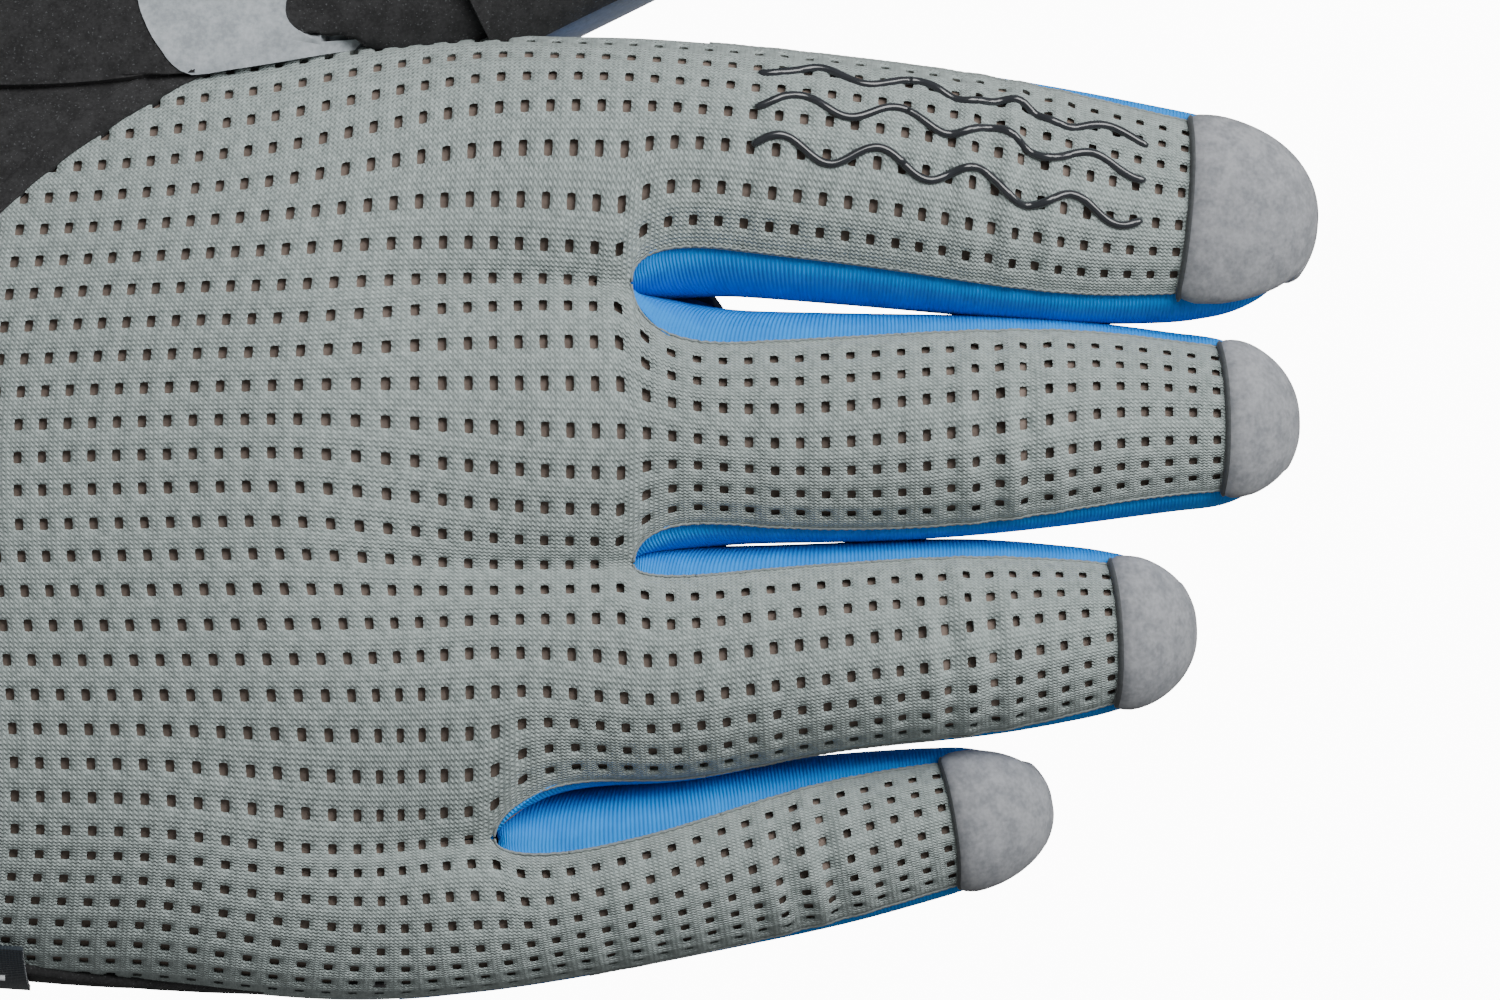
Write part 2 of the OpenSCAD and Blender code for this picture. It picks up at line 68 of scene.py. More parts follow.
# wide (half width), tall (half height), axis (height of the middle) and seams (turns of the two seams between
# back and sides) are tables along the finger. fold gives the hinges, zones the lengths where the cloth bends,
# cap where the tip starts to round, hem the cap's seam. A swell is a bulge's side, share, place and reach.
fingers = {
    "index": {"base": (0, 32.7), "yaw": -5.1, "end": 65.5, "cap": 52, "hem": 53.4, "fold": (15, 36),
        "zones": ((8, 22), (29, 43)), "swell": ((-1, 0.09, 46, 16),),
        "wide": [[-8, 11.5], [0, 11.9], [20, 11.9], [40, 11], [56, 9.7]],
        "seams": ([[0, 8], [30, 8], [46, 24], [60, 33]],
            [[0, 127], [20, 131], [46, 138], [60, 134]]),
        "tall": [[-8, 10], [0, 9.9], [20, 9.6], [40, 8.8], [56, 8.2]],
        "axis": [[-8, 19], [0, 18.2], [15, 17], [36, 15.2], [55, 10.4], [66, 8.9]]},
    "middle": {"base": (0, 7), "yaw": 0.5, "end": 63.5, "cap": 53, "hem": 57, "fold": (15, 36),
        "zones": ((8, 22), (29, 43)), "swell": ((1, 0.05, 46, 16), (-1, 0.04, 26, 14)),
        "wide": [[-8, 11.2], [0, 11.3], [20, 10.9], [40, 9.9], [54, 8.4]],
        "seams": ([[0, 51], [14, 45], [34, 33], [46, 28], [60, 30]],
            [[0, 133], [12, 147], [32, 151], [50, 142], [60, 142]]),
        "tall": [[-8, 10], [0, 9.9], [20, 9.4], [40, 8.6], [54, 7.9]],
        "axis": [[-8, 20], [0, 18.8], [15, 17.2], [36, 15], [54, 10], [63, 8.7]]},
    "ring": {"base": (0, -15.3), "yaw": 3, "end": 53.5, "cap": 43, "hem": 46.6, "fold": (14, 32),
        "zones": ((7, 21), (25, 39)), "swell": ((-1, 0.17, 2, 12), (1, 0.04, 30, 14)),
        "wide": [[-15, 10], [0, 10.4], [20, 9.9], [36, 9.2], [46, 8]],
        "seams": ([[0, 48], [14, 40], [32, 36], [46, 34], [60, 34]],
            [[-15, 146], [0, 163], [20, 168], [36, 160], [46, 150], [60, 146]]),
        "tall": [[-15, 9.4], [0, 9.4], [20, 9], [36, 8.3], [46, 7.6]],
        "axis": [[-15, 18.6], [0, 17.8], [14, 16.2], [32, 13.8], [46, 10], [53, 8.5]]},
    "little": {"base": (-13, -38.4), "yaw": 9.2, "end": 53, "cap": 41.5, "hem": 44.2, "fold": (14, 30),
        "zones": ((7.5, 20.5), (23.5, 36.5)), "swell": (),
        "wide": [[-6, 8.8], [0, 9], [20, 8.8], [34, 8.2], [44, 7.2]],
        "seams": ([[-6, 66], [0, 70], [14, 68], [34, 46], [44, 38], [60, 38]],
            [[0, 168], [20, 162], [44, 148], [60, 146]]),
        "tall": [[-6, 8.3], [0, 8.3], [20, 8], [34, 7.5], [44, 7.1]],
        "axis": [[-6, 15.6], [0, 15], [14, 13.4], [30, 11], [44, 8.7], [53, 7.9]]},
    "thumb": {"base": (-14, 55.3), "yaw": 26, "end": 46, "cap": 34, "hem": 35, "fold": (1, 20),
        "zones": ((-5, 7), (13.5, 26.5)), "swell": (),
        "wide": [[-6, 11.6], [0, 11.5], [20, 11.1], [36, 9.8]], "seams": None,
        "tall": [[-6, 11.2], [0, 11], [20, 10.2], [36, 8.9]],
        "axis": [[-6, 13.6], [0, 13.3], [20, 12], [36, 10.2], [46, 9.6]]},
}
order = ["index", "middle", "ring", "little"]
webs = [  # crotches: where each starts, how far out the palm side lies, which edge it leans to
    {"start": 0, "slant": 8, "lean": 0.42, "open": 10},
    {"start": 0, "slant": 8, "lean": 0.72, "open": 11},
    {"start": -13.3, "slant": 8, "lean": 0.66, "open": 12},
]
laneEdges = [0.4835, -0.0747, -0.657]   # borders between lanes, as shares of the half width

joint = {j["name"]: j for j in frame["joints"]}
middleFold = np.array(joint["middle_base_fold"]["pos_m"])
turned = math.radians(fingers["middle"]["yaw"])
shift = middleFold[:2] * 1000 - np.array([15 * math.cos(turned), 7 + 15 * math.sin(turned)])


def place(p):
    # from the drawing's millimetres to metres in the shared frame
    p = np.asarray(p, float)
    return (p + np.array([shift[0], shift[1], 0])) / 1000


def mix(a, b, t):
    return a + (b - a) * t


def step(t):
    t = np.clip(t, 0, 1)
    return t * t * (3 - 2 * t)


def along(x, table):
    # smooth curve through the table: a cubic between entries with slopes from their neighbours
    t = np.array(table, float)
    slope = np.gradient(t[:, 1], t[:, 0])
    x = np.clip(x, t[0, 0], t[-1, 0])
    k = np.clip(np.searchsorted(t[:, 0], x, side="right") - 1, 0, len(t) - 2)
    w = t[k + 1, 0] - t[k, 0]
    s = (x - t[k, 0]) / w
    return ((2 * s**3 - 3 * s**2 + 1) * t[k, 1] + (s**3 - 2 * s**2 + s) * w * slope[k]
        + (3 * s**2 - 2 * s**3) * t[k + 1, 1] + (s**3 - s**2) * w * slope[k + 1])


def power(c, n):
    return np.sign(c) * np.abs(c) ** (2 / n)


def cosOf(f):
    return math.cos(math.radians(f["yaw"]))


def runOf(points):
    # length run along a line of points
    return np.concatenate([[0], np.cumsum(np.linalg.norm(np.diff(points, axis=0), axis=1))])


def welded(points, fine=100):
    # which points stay when those at the same place become one, and where each goes
    places = np.round(points * fine).astype(int)
    _, first, index = np.unique(places, axis=0, return_index=True, return_inverse=True)
    return first, index.ravel()


def onFinger(f, u, turn, inset=0):
    # oval ring of a finger: half width times cos, half height times sin, each to the power 2/n
    # past the start of the cap the ring shrinks to a rounded tip
    u, turn = np.broadcast_arrays(np.asarray(u, float), np.radians(turn))
    n = bodyShape["fingerRound"]
    tip = np.sqrt(1 - np.clip((u - f["cap"]) / (f["end"] - f["cap"]), 0, 1) ** 2.5)
    y = (along(u, f["wide"]) * tip - inset) * power(np.cos(turn), n)
    for side, amount, at, reach in f["swell"]:
        y = np.where(y * side > 0, y * (1 + amount * np.exp(-((u - at) / reach) ** 2)), y)
    z = along(u, f["axis"]) + (along(u, f["tall"]) * tip - inset) * power(np.sin(turn), n)
    a = math.radians(f["yaw"])
    x = f["base"][0] + u * math.cos(a) - y * math.sin(a)
    return np.stack([x, f["base"][1] + u * math.sin(a) + y * math.cos(a), z], -1)


def onHand(x, turn, inset=0):
    # oval ring of the hand at x; inset is how far inside the surface, in millimetres
    x, turn = np.broadcast_arrays(np.asarray(x, float), np.radians(turn))
    n = bodyShape["handRound"]
    half = (along(x, bodyShape["handTop"]) - bodyShape["belly"]) / 2
    y = along(x, bodyShape["handMiddle"]) + (along(x, bodyShape["handWide"]) - inset) * power(np.cos(turn), n)
    return np.stack([x, y, bodyShape["belly"] + half + (half - inset) * power(np.sin(turn), n)], -1)


thumbHole = {"middle": -52, "half": 29, "turn": 31, "side": -6}


def holeEdge(x, side):
    # turn of the thumb hole's edge, side 1 towards the back and -1 towards the palm
    t = (x - thumbHole["middle"]) / thumbHole["half"]
    return thumbHole["side"] + side * (0.7 + thumbHole["turn"] * np.sqrt(np.clip(1 - t * t, 0, 1)))


def clothEdge(x, side):
    # where the back (or palm) panel really ends on the thumb side: a soft curve under the gusset
    return thumbHole["side"] + 4 + side * (19 * np.exp(-((x - thumbHole["middle"]) / 27) ** 2) - 1)


def handTurns(x, s, palm=False):
    # turns across the back (or palm) at x, evenly spaced by arc length inside each of the four lanes
    ends = [360 + clothEdge(x, -1), bodyShape["palmEnd"]] if palm else [clothEdge(x, 1), bodyShape["backEnd"]]
    inner = np.degrees(np.arccos(power(np.array(laneEdges), 4 / bodyShape["handRound"])))
    edges = np.array([ends[0], *(inner if not palm else 360 - inner), ends[1]])
    fine = np.linspace(-20, 400, 841)
    run = runOf(onHand(x, fine))
    at = np.interp(edges, fine, run)
    return np.interp(np.interp(s, np.arange(5), at), run, fine)


def backSeam(name, side, u):
    # turn of the seam between a finger's back and its side
    return along(u, fingers[name]["seams"][side])


def palmSeam(side, u):
    return bodyShape["palmSeams"][side] + 0 * u


def rootShare(name, x):
    # length along the finger at x, and how much of the shape is the finger's and not the hand's
    f = fingers[name]
    u = (x - f["base"][0]) / cosOf(f)
    return u, step((u - bodyShape["root"]) / bodyShape["rootReach"])


def laneRow(i, x, across, palm=False):
    # points across the hand's lane i and the finger it runs on into
    name = order[i]
    f = fingers[name]
    u, w = rootShare(name, x)
    a, b = [palmSeam(side, u) if palm else backSeam(name, side, u) for side in (0, 1)]
    return mix(onHand(min(x, 0), handTurns(x, i + across, palm)), onFinger(f, u, mix(a, b, across)), w)


def opened(web, x, palm=False):
    # 0 up to the crotch, then 1 once the two fingers have parted: a U shape
    d = x - web["start"] - (web["slant"] if palm else 0)
    return np.sin(math.pi / 2 * np.sqrt(np.clip(d / web["open"], 0, 1)))


def webEdge(b, x, palm=False):
    # the two lane edges on either side of web b at x, once they are joined up to the crotch
    e0 = laneRow(b, x, np.array([1.0]), palm)[0]
    e1 = laneRow(b + 1, x, np.array([0.0]), palm)[0]
    q = opened(webs[b], x, palm)
    m = mix(e0, e1, webs[b]["lean"])
    return mix(m, e0, q), mix(m, e1, q), e0, e1


def lane(i, xs, across, palm=False):
    # rows of a lane at each x, drawn to the crotches' edges on either side
    rows = []
    for x in xs:
        row = laneRow(i, x, across, palm)
        if i > 0:
            _, new, _, old = webEdge(i - 1, x, palm)
            row = row + (new - old) * (1 - step(across / 0.6))[:, None]
        if i < 3:
            new, _, old, _ = webEdge(i, x, palm)
            row = row + (new - old) * (1 - step((1 - across) / 0.6))[:, None]
        rows.append(row)
    return np.array(rows)


def refine(grid, r, c):
    # bicubic through the grid's points, at fractional row r and column c
    g = np.concatenate([2 * grid[:1] - grid[1:2], grid, 2 * grid[-1:] - grid[-2:-1]], 0)
    g = np.concatenate([2 * g[:, :1] - g[:, 1:2], g, 2 * g[:, -1:] - g[:, -2:-1]], 1)
    i = np.clip(np.floor(r).astype(int), 0, grid.shape[0] - 2)
    j = np.clip(np.floor(c).astype(int), 0, grid.shape[1] - 2)

    def weights(t):
        return 0.5 * np.stack([-t + 2 * t**2 - t**3, 2 - 5 * t**2 + 3 * t**3,
            t + 4 * t**2 - 3 * t**3, t**3 - t**2])
    wr, wc = weights(r - i), weights(c - j)
    return sum((wr[a] * wc[b])[..., None] * g[i + a, j + b] for a in range(4) for b in range(4))


def facing(grid, r, c):
    # outward direction of the surface: column direction crossed with row direction
    e = 0.05
    across = refine(grid, r, c + e) - refine(grid, r, c - e)
    n = np.cross(across, refine(grid, r + e, c) - refine(grid, r - e, c))
    return n / np.maximum(np.linalg.norm(n, axis=-1, keepdims=True), 1e-9)


# Materials


def colour(code):
    rgb = np.array([int(code[k:k + 2], 16) / 255 for k in (1, 3, 5)])
    return (*np.where(rgb <= 0.04045, rgb / 12.92, ((rgb + 0.055) / 1.055) ** 2.4), 1.0)


def add(tree, kind, settings=None, **inputs):
    # a shader node with its settings; inputs go by name, or by place as i0, i1, ...
    made = tree.nodes.new("ShaderNode" + kind)
    for key, value in (settings or {}).items():
        setattr(made, key, value)
    for key, value in inputs.items():
        socket = made.inputs[int(key[1:])] if key[1:].isdigit() else made.inputs[key.replace("_", " ")]
        if isinstance(value, bpy.types.NodeSocket):
            tree.links.new(value, socket)
        else:
            socket.default_value = value
    return made


def sums(tree, kind, *values, clamp=False):
    # the output of a node that reckons with the values
    inputs = {"i%d" % k: v for k, v in enumerate(values)}
    return add(tree, "Math", {"operation": kind, "use_clamp": clamp}, **inputs).outputs[0]


def cloudy(tree, where, size, detail, **spread):
    # noise with spots of the size in millimetres, its range mapped to another
    noise = add(tree, "TexNoise", Vector=where, Scale=1000 / size, Detail=detail).outputs[0]
    return add(tree, "MapRange", Value=noise, **spread).outputs[0]


def material(name, base, other, **values):
    # base and other colour mixed by fine noise, with a bump from bands in the cloth's own millimetres; the
    # bands can also darken the colour in their grooves as painted shade
    look = {"rough": 0.85, "sheen": 0.25, "noise": 1.2, "bandsAcross": 0, "bandsAlong": 0, "depth": 0.08,
        "grain": 0.5, "coat": 0, "ior": 1.5, "contrast": 0.5, "bandTint": 0.0,
        "twist": 0, "mottle": 0, "specks": 0}
    look.update(values)
    made = bpy.data.materials.new(name)
    made.use_nodes = True
    tree = made.node_tree
    shader = tree.nodes["Principled BSDF"]
    for key, value in (("Roughness", look["rough"]), ("Sheen Weight", look["sheen"]),
            ("Sheen Roughness", 0.4), ("IOR", look["ior"]), ("Coat Weight", look["coat"]),
            ("Coat Roughness", 0.12)):
        shader.inputs[key].default_value = value
    spot = add(tree, "TexCoord").outputs["Object"]
    cloth = add(tree, "UVMap", {"uv_map": "cloth"})
    parts = add(tree, "SeparateXYZ", Vector=cloth.outputs["UV"])
    scale = 1000 / look["noise"]
    noise = add(tree, "TexNoise", Vector=spot, Scale=scale, Detail=4.0, Roughness=0.6).outputs[0]
    height = sums(tree, "MULTIPLY", noise, look["grain"])
    bands = None
    for axis, size in (("Y", look["bandsAlong"]), ("X", look["bandsAcross"])):
        if size:
            phase = sums(tree, "MULTIPLY", parts.outputs[axis], 2 * math.pi / size)
            if axis == "X" and look["twist"]:   # the columns lean to and fro with each row, like loops
                phase = sums(tree, "MULTIPLY_ADD", bands, look["twist"], phase)
                bands = sums(tree, "MULTIPLY", bands, 0.35)
            wave = sums(tree, "SINE", phase)
            bands = wave if bands is None else sums(tree, "ADD", bands, wave)
    if bands is not None:
        height = sums(tree, "ADD", height, sums(tree, "MULTIPLY", bands, 0.5))
    bump = add(tree, "Bump", Height=height, Strength=0.9, Distance=look["depth"] / 1000)
    tree.links.new(bump.outputs[0], shader.inputs["Normal"])
    low, high = 0.5 - look["contrast"] / 2, 0.5 + look["contrast"] / 2
    spread = add(tree, "MapRange", Value=noise, From_Min=low, From_Max=high).outputs[0]
    # painted shade: the colour darkens where the bands' bump is low, in the grooves between the ribs
    if bands is not None and look["bandTint"]:
        spread = sums(tree, "MULTIPLY_ADD", bands, -look["bandTint"], spread, clamp=True)
    if look["mottle"]:   # broad cloudy patches, as on brushed suede
        reach = {"From_Min": 0.35, "From_Max": 0.65, "To_Min": -0.35, "To_Max": 0.35}
        cloud = cloudy(tree, spot, look["mottle"], 2.0, **reach)
        spread = sums(tree, "ADD", spread, cloud, clamp=True)
    blend = add(tree, "Mix", {"data_type": "RGBA"}, Factor=spread)
    blend.inputs[6].default_value, blend.inputs[7].default_value = colour(base), colour(other)
    top = blend.outputs[2]
    if look["specks"]:   # short pale hairs standing out of the pile
        hair = cloudy(tree, spot, 0.22, 1.0, From_Min=0.66, From_Max=0.74, To_Max=look["specks"])
        dotted = add(tree, "Mix", {"data_type": "RGBA"}, Factor=hair)
        tree.links.new(top, dotted.inputs[6])
        dotted.inputs[7].default_value = colour("#8d9194")
        top = dotted.outputs[2]
    tree.links.new(top, shader.inputs["Base Color"])
    return made


mats = {
    "knit": material("perforated knit", "#a7b2b0", "#808b89", noise=0.7, bandsAcross=0.34,
        bandsAlong=0.46, twist=1.1, depth=0.12, rough=0.85, sheen=0.1, bandTint=0.16),
    # a brown sheet under the knit that stands for the wearer's skin seen through the holes; its colour is
    # partly painted shade
    "shadedSkin": material("skin behind the knit with painted shade", "#8c7c72", "#6d6058", rough=0.9, sheen=0),
    "blue": material("ribbed stretch fabric", "#0091ec", "#007bd6", noise=3, bandsAlong=0.36,
        depth=0.07, rough=0.8, sheen=0, bandTint=0.1, grain=0.12, ior=1.33),
    "suedeLight": material("light synthetic suede", "#b0b6bb", "#8f969b", noise=0.45, depth=0.08,
        rough=0.95, sheen=0.15, mottle=2.2),
    "suedeCap": material("mid grey brushed suede", "#96989c", "#787b80", noise=0.4, depth=0.07,
        rough=0.95, sheen=0.1, mottle=1.6, contrast=0.7),
    "suedeGrey": material("grey synthetic suede", "#6d7378", "#565b60", noise=0.5, depth=0.06,
        rough=0.92, sheen=0.35),
    "patch": material("embossed suede", "#3c4043", "#2a2d30", noise=0.6, depth=0.1, rough=0.8,
        bandsAcross=1.6, bandsAlong=1.6),
    "wrist": material("brushed wrist fabric", "#2d2d2e", "#1b1b1c", noise=0.35, depth=0.16,
        rough=1, sheen=0.05, contrast=0.35, mottle=1.8, specks=0.22),
    "webbing": material("nylon webbing", "#1c1c1e", "#101012", noise=0.6, bandsAcross=0.9,
        bandsAlong=0.6, depth=0.12, rough=0.6),
    "loops": material("loop pile", "#19191b", "#0c0c0d", noise=0.25, depth=0.35, rough=1,
        sheen=0.7, grain=1.4),
    "label": material("woven label", "#1a2630", "#141e27", noise=0.4, bandsAcross=0.3,
        bandsAlong=0.3, depth=0.04, rough=0.6),
    "care": material("printed satin tape", "#e4e6e8", "#d7dadc", noise=0.4, bandsAcross=0.3,
        depth=0.03, rough=0.45),
    "print": material("raised glossy print", "#2c2f34", "#23262a", rough=0.18, sheen=0, coat=0.6,
        grain=0.0, noise=2),
    "edge": material("grey edge thread", "#8e9695", "#747c7b", rough=0.8, sheen=0.1, noise=0.4),
    # dark grey thread for stitches, also used for the cap seams' painted shadow line
    "seam": material("dark grey thread and painted seam shadow", "#4a4e50", "#383b3d", rough=0.7, noise=0.4),
    "thread": material("olive thread", "#a59c7c", "#8b8266", rough=0.65, noise=0.4),
    "white": material("white thread", "#d9dcde", "#c6cacc", rough=0.6, noise=0.4),
}

# Making meshes


def build(name, points, faces, mat, cloth, thick=0):
    # one object; cloth is each point's place on the flat cloth, thick a shell's thickness
    mesh = bpy.data.meshes.new(name)
    mesh.from_pydata(place(points).tolist(), [], [list(map(int, f)) for f in faces])
    layer = mesh.uv_layers.new(name="cloth")
    loops = np.zeros(len(mesh.loops), int)
    mesh.loops.foreach_get("vertex_index", loops)
    layer.data.foreach_set("uv", np.asarray(cloth, float)[loops].ravel())
    mesh.polygons.foreach_set("use_smooth", [True] * len(mesh.polygons))
    edges = np.zeros(len(mesh.loops), int)   # cut edges are sharp, so cloth that meets there is lit as one
    mesh.loops.foreach_get("edge_index", edges)
    sharp = mesh.attributes.new("sharp_edge", "BOOLEAN", "EDGE")
    sharp.data.foreach_set("value", np.bincount(edges, minlength=len(mesh.edges)) == 1)
    mesh.materials.append(mats[mat])
    mesh.update()
    made = bpy.data.objects.new(name, mesh)
    bpy.context.scene.collection.objects.link(made)
    if thick:
        shell = made.modifiers.new("thickness", "SOLIDIFY")
        shell.thickness, shell.offset, shell.use_even_offset = thick / 1000, -1, False
    return made


def gridFaces(ni, nj, closed=False):
    i, j = np.meshgrid(np.arange(ni - 1), np.arange(nj if closed else nj - 1), indexing="ij")
    k = (j + 1) % nj
    return np.stack([i * nj + j, i * nj + k, (i + 1) * nj + k, (i + 1) * nj + j], -1).reshape(-1, 4)


def clothOf(points):
    # the cloth's own millimetres: length run across and along, from the grid's middle lines
    ni, nj = points.shape[:2]
    a, d = np.meshgrid(runOf(points[ni // 2]), runOf(points[:, nj // 2]))
    return np.stack([a, d], -1).reshape(-1, 2)


def sewn(name, parts, mat, thick):
    # one sheet from several (points, faces, cloth) that share their edges
    before = np.cumsum([0] + [len(p) for p, f, c in parts])
    points, cloth = np.concatenate([p for p, f, c in parts]), np.concatenate([c for p, f, c in parts])
    faces = np.concatenate([f + n for (p, f, c), n in zip(parts, before)])
    first, index = welded(points)
    return build(name, points[first], index[faces], mat, cloth[first], thick)


def sheetFrom(name, grid, mat, thick, finer, lift=None):
    # a smooth panel through a coarse grid of points; lift is a height for each fine point
    r, c = np.meshgrid(np.linspace(0, grid.shape[0] - 1, (grid.shape[0] - 1) * finer + 1),
        np.linspace(0, grid.shape[1] - 1, (grid.shape[1] - 1) * finer + 1), indexing="ij")
    points = refine(grid, r, c)
    if lift is not None:
        points = points + facing(grid, r, c) * lift(r, c)[..., None]
    return build(name, points.reshape(-1, 3), gridFaces(*points.shape[:2]), mat, clothOf(points), thick)


def tube(name, path, radius, mat, sides):
    # a round thread along a path: rings square to it, with rounded ends
    path = np.asarray(path, float)
    tangent = np.gradient(path, axis=0)
    tangent /= np.maximum(np.linalg.norm(tangent, axis=1, keepdims=True), 1e-9)
    side = np.cross(tangent, [0.13, 0.21, 0.97])
    side /= np.maximum(np.linalg.norm(side, axis=1, keepdims=True), 1e-9)
    up = np.cross(side, tangent)
    turn = np.arange(sides) * 2 * math.pi / sides
    r = np.broadcast_to(np.asarray(radius, float), (len(path),)).copy()
    ring = side[:, None] * np.cos(turn)[None, :, None] + up[:, None] * np.sin(turn)[None, :, None]
    rings = path[:, None] + r[:, None, None] * ring
    points = np.concatenate([rings.reshape(-1, 3), path[:1], path[-1:]])
    n = len(path) * sides
    faces = [list(f) for f in gridFaces(len(path), sides, True)]
    faces += [[n, (j + 1) % sides, j] for j in range(sides)]
    faces += [[n + 1, n - sides + j, n - sides + (j + 1) % sides] for j in range(sides)]
    around, down = np.meshgrid(np.arange(sides) * 0.1, np.arange(len(path)) * 0.3)
    cloth = np.concatenate([np.stack([around, down], -1).reshape(-1, 2), np.zeros((2, 2))])
    return build(name, points, faces, mat, cloth)


def joined(name, made):
    # one object from several that share a material
    with bpy.context.temp_override(active_object=made[0], object=made[0], selected_objects=made,
            selected_editable_objects=made):
        bpy.ops.object.join()
    made[0].name = name
    made[0].data.name = name
    return made[0]


def bends(made):
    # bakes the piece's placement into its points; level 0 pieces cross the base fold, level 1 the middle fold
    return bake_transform(made)


# Knit back: one hole at every crossing of the rows and columns

# columns across each lane, gap between them and pitch of the rows. The knit of the hand ends at handEnd, and
# shortRows earlier for the little finger, whose crotch lies further back. Hole sizes are shares of the pitch.
knitBack = {"columns": 8, "gap": 2.4, "pitch": 2.4, "thick": 0.6, "shadedSkin": 0.85, "dip": 0.2, "ridge": 0.12,
    "holeAlong": 0.175, "holeAcross": 0.18, "start": -77, "handEnd": 6, "shortRows": 5, "drift": 0.5}
columns = knitBack["columns"]
shares = np.arange(columns + 1) / columns


def onward(line, inner, given):
    # the next line of points past an edge: the neighbour's where it is known, else straight on
    return 2 * line - inner if given is None else given


def punched(grid, holes, cloth0, bulge=None, sides=(None, None), edges=None, ends=(None, None)):
    # sides and ends are the neighbouring sheets' next columns and rows, so the surface runs on smoothly
    # round each crossing, four quarters of a rounded slot: hole edge, rim, and the square halfway to the next
    ha, hb = knitBack["holeAlong"], knitBack["holeAcross"]
    ma, mb = mix(ha, 0.5, 0.4), mix(hb, 0.5, 0.4)
    quarter = np.array([(ha, 0), (ha * 0.9, hb * 0.9), (0, hb), (ma, 0), (ma * 0.85, mb * 0.85), (0, mb),
        (0.5, 0), (0.5, 0.5), (0, 0.5), (0, 0)])
    around = [(0, 1, 4, 3), (1, 2, 5, 4), (3, 4, 7, 6), (4, 5, 8, 7)]
    rim = np.array([1, 1, 1, 0.12, 0.12, 0.12, 0, 0, 0, 0.3])
    ni, nj = grid.shape[:2]
    spots, faces, dips = [], [], []
    for k in range(ni):
        for j in range(nj):
            for sr in (-1, 1):
                for sc in (-1, 1):
                    if not (0 <= k + sr < ni and 0 <= j + sc < nj):
                        continue
                    base = len(spots)
                    spots += [(k + sr * a, j + sc * b) for a, b in quarter]
                    dips += list(rim * (1 if holes[k, j] else 0))
                    for f in around + ([] if holes[k, j] else [(0, 9, 2, 1)]):
                        faces.append([base + q for q in (f if sr * sc > 0 else f[::-1])])
    spots = np.array(spots)
    first, index = welded(spots, 1000)
    spots, dips = spots[first], np.array(dips)[first]
    faces = index[np.array(faces, dtype=int).reshape(-1, 4)]
    used = np.unique(faces)
    renumber = np.zeros(len(spots), int)
    renumber[used] = np.arange(len(used))
    spots, dips, faces = spots[used], dips[used], renumber[faces]
    r, c = spots.T
    before = onward(grid[:, :1], grid[:, 1:2], sides[0])
    after = onward(grid[:, -1:], grid[:, -2:-1], sides[1])
    grid = np.concatenate([before, grid, after], 1)
    ends = [None if e is None else
        np.concatenate([2 * e[:, :1] - e[:, 1:2], e, 2 * e[:, -1:] - e[:, -2:-1]], 1) for e in ends]
    before, after = onward(grid[:1], grid[1:2], ends[0]), onward(grid[-1:], grid[-2:-1], ends[1])
    grid = np.concatenate([before, grid, after], 0)
    points = refine(grid, r + 1, c + 1)
    if edges is not None:
        points = points + edges(r, c, grid)
    out = -knitBack["dip"] * dips + knitBack["ridge"] * (np.cos(2 * math.pi * (c + 0.5)) * 0.5 + 0.5)
    if bulge is not None:
        out = out + bulge(r, c)
    points = points + facing(grid, r + 1, c + 1) * out[:, None]
    return points, faces, np.stack([c * knitBack["gap"] + cloth0[0], r * knitBack["pitch"] + cloth0[1]], 1)


def bunching(name, rowsU):
    # soft creases across the back of a finger over its two folds: damped waves along the length
    f = fingers[name]

    def lift(r, c):
        u = np.interp(r, np.arange(len(rowsU)), rowsU)
        edge = np.sin(math.pi * np.clip(c / columns, 0, 1)) ** 0.5
        out = 0
        for at, width, size, wave in ((f["fold"][1], 6.5, 0.42, 4.1), (f["fold"][0] - 2, 5, 0.16, 5)):
            bend = 0.5 * np.sin(c * 0.9 + at)
            swing = np.cos(2 * math.pi * (u - at + bend) / wave)
            out = out + size * np.exp(-((u - at) / width) ** 2) * swing * edge
        return out
    return lift


def trueEdges(i, xs):
    # moves the outermost columns onto the exact U of each crotch, between the grid's rows
    def move(r, c, grid):
        out = np.zeros((len(r), 3))
        for k, web in ((0, i - 1), (columns, i)):
            if not 0 <= web < 3:
                continue
            near = (np.abs(c - k) < 1) & (np.interp(r, np.arange(len(xs)), xs) > webs[web]["start"] - 4)
            for q in np.unique(r[near]):
                here = near & (r == q)
                x = float(np.interp(q, np.arange(len(xs)), xs))
                exact = webEdge(web, x)[1 if k == 0 else 0]
                now = refine(grid, np.array([q + 1]), np.array([k + 1.0]))[0]
                out[here] = (exact - now) * (1 - np.abs(c[here] - k))[:, None]
        return out
    return move


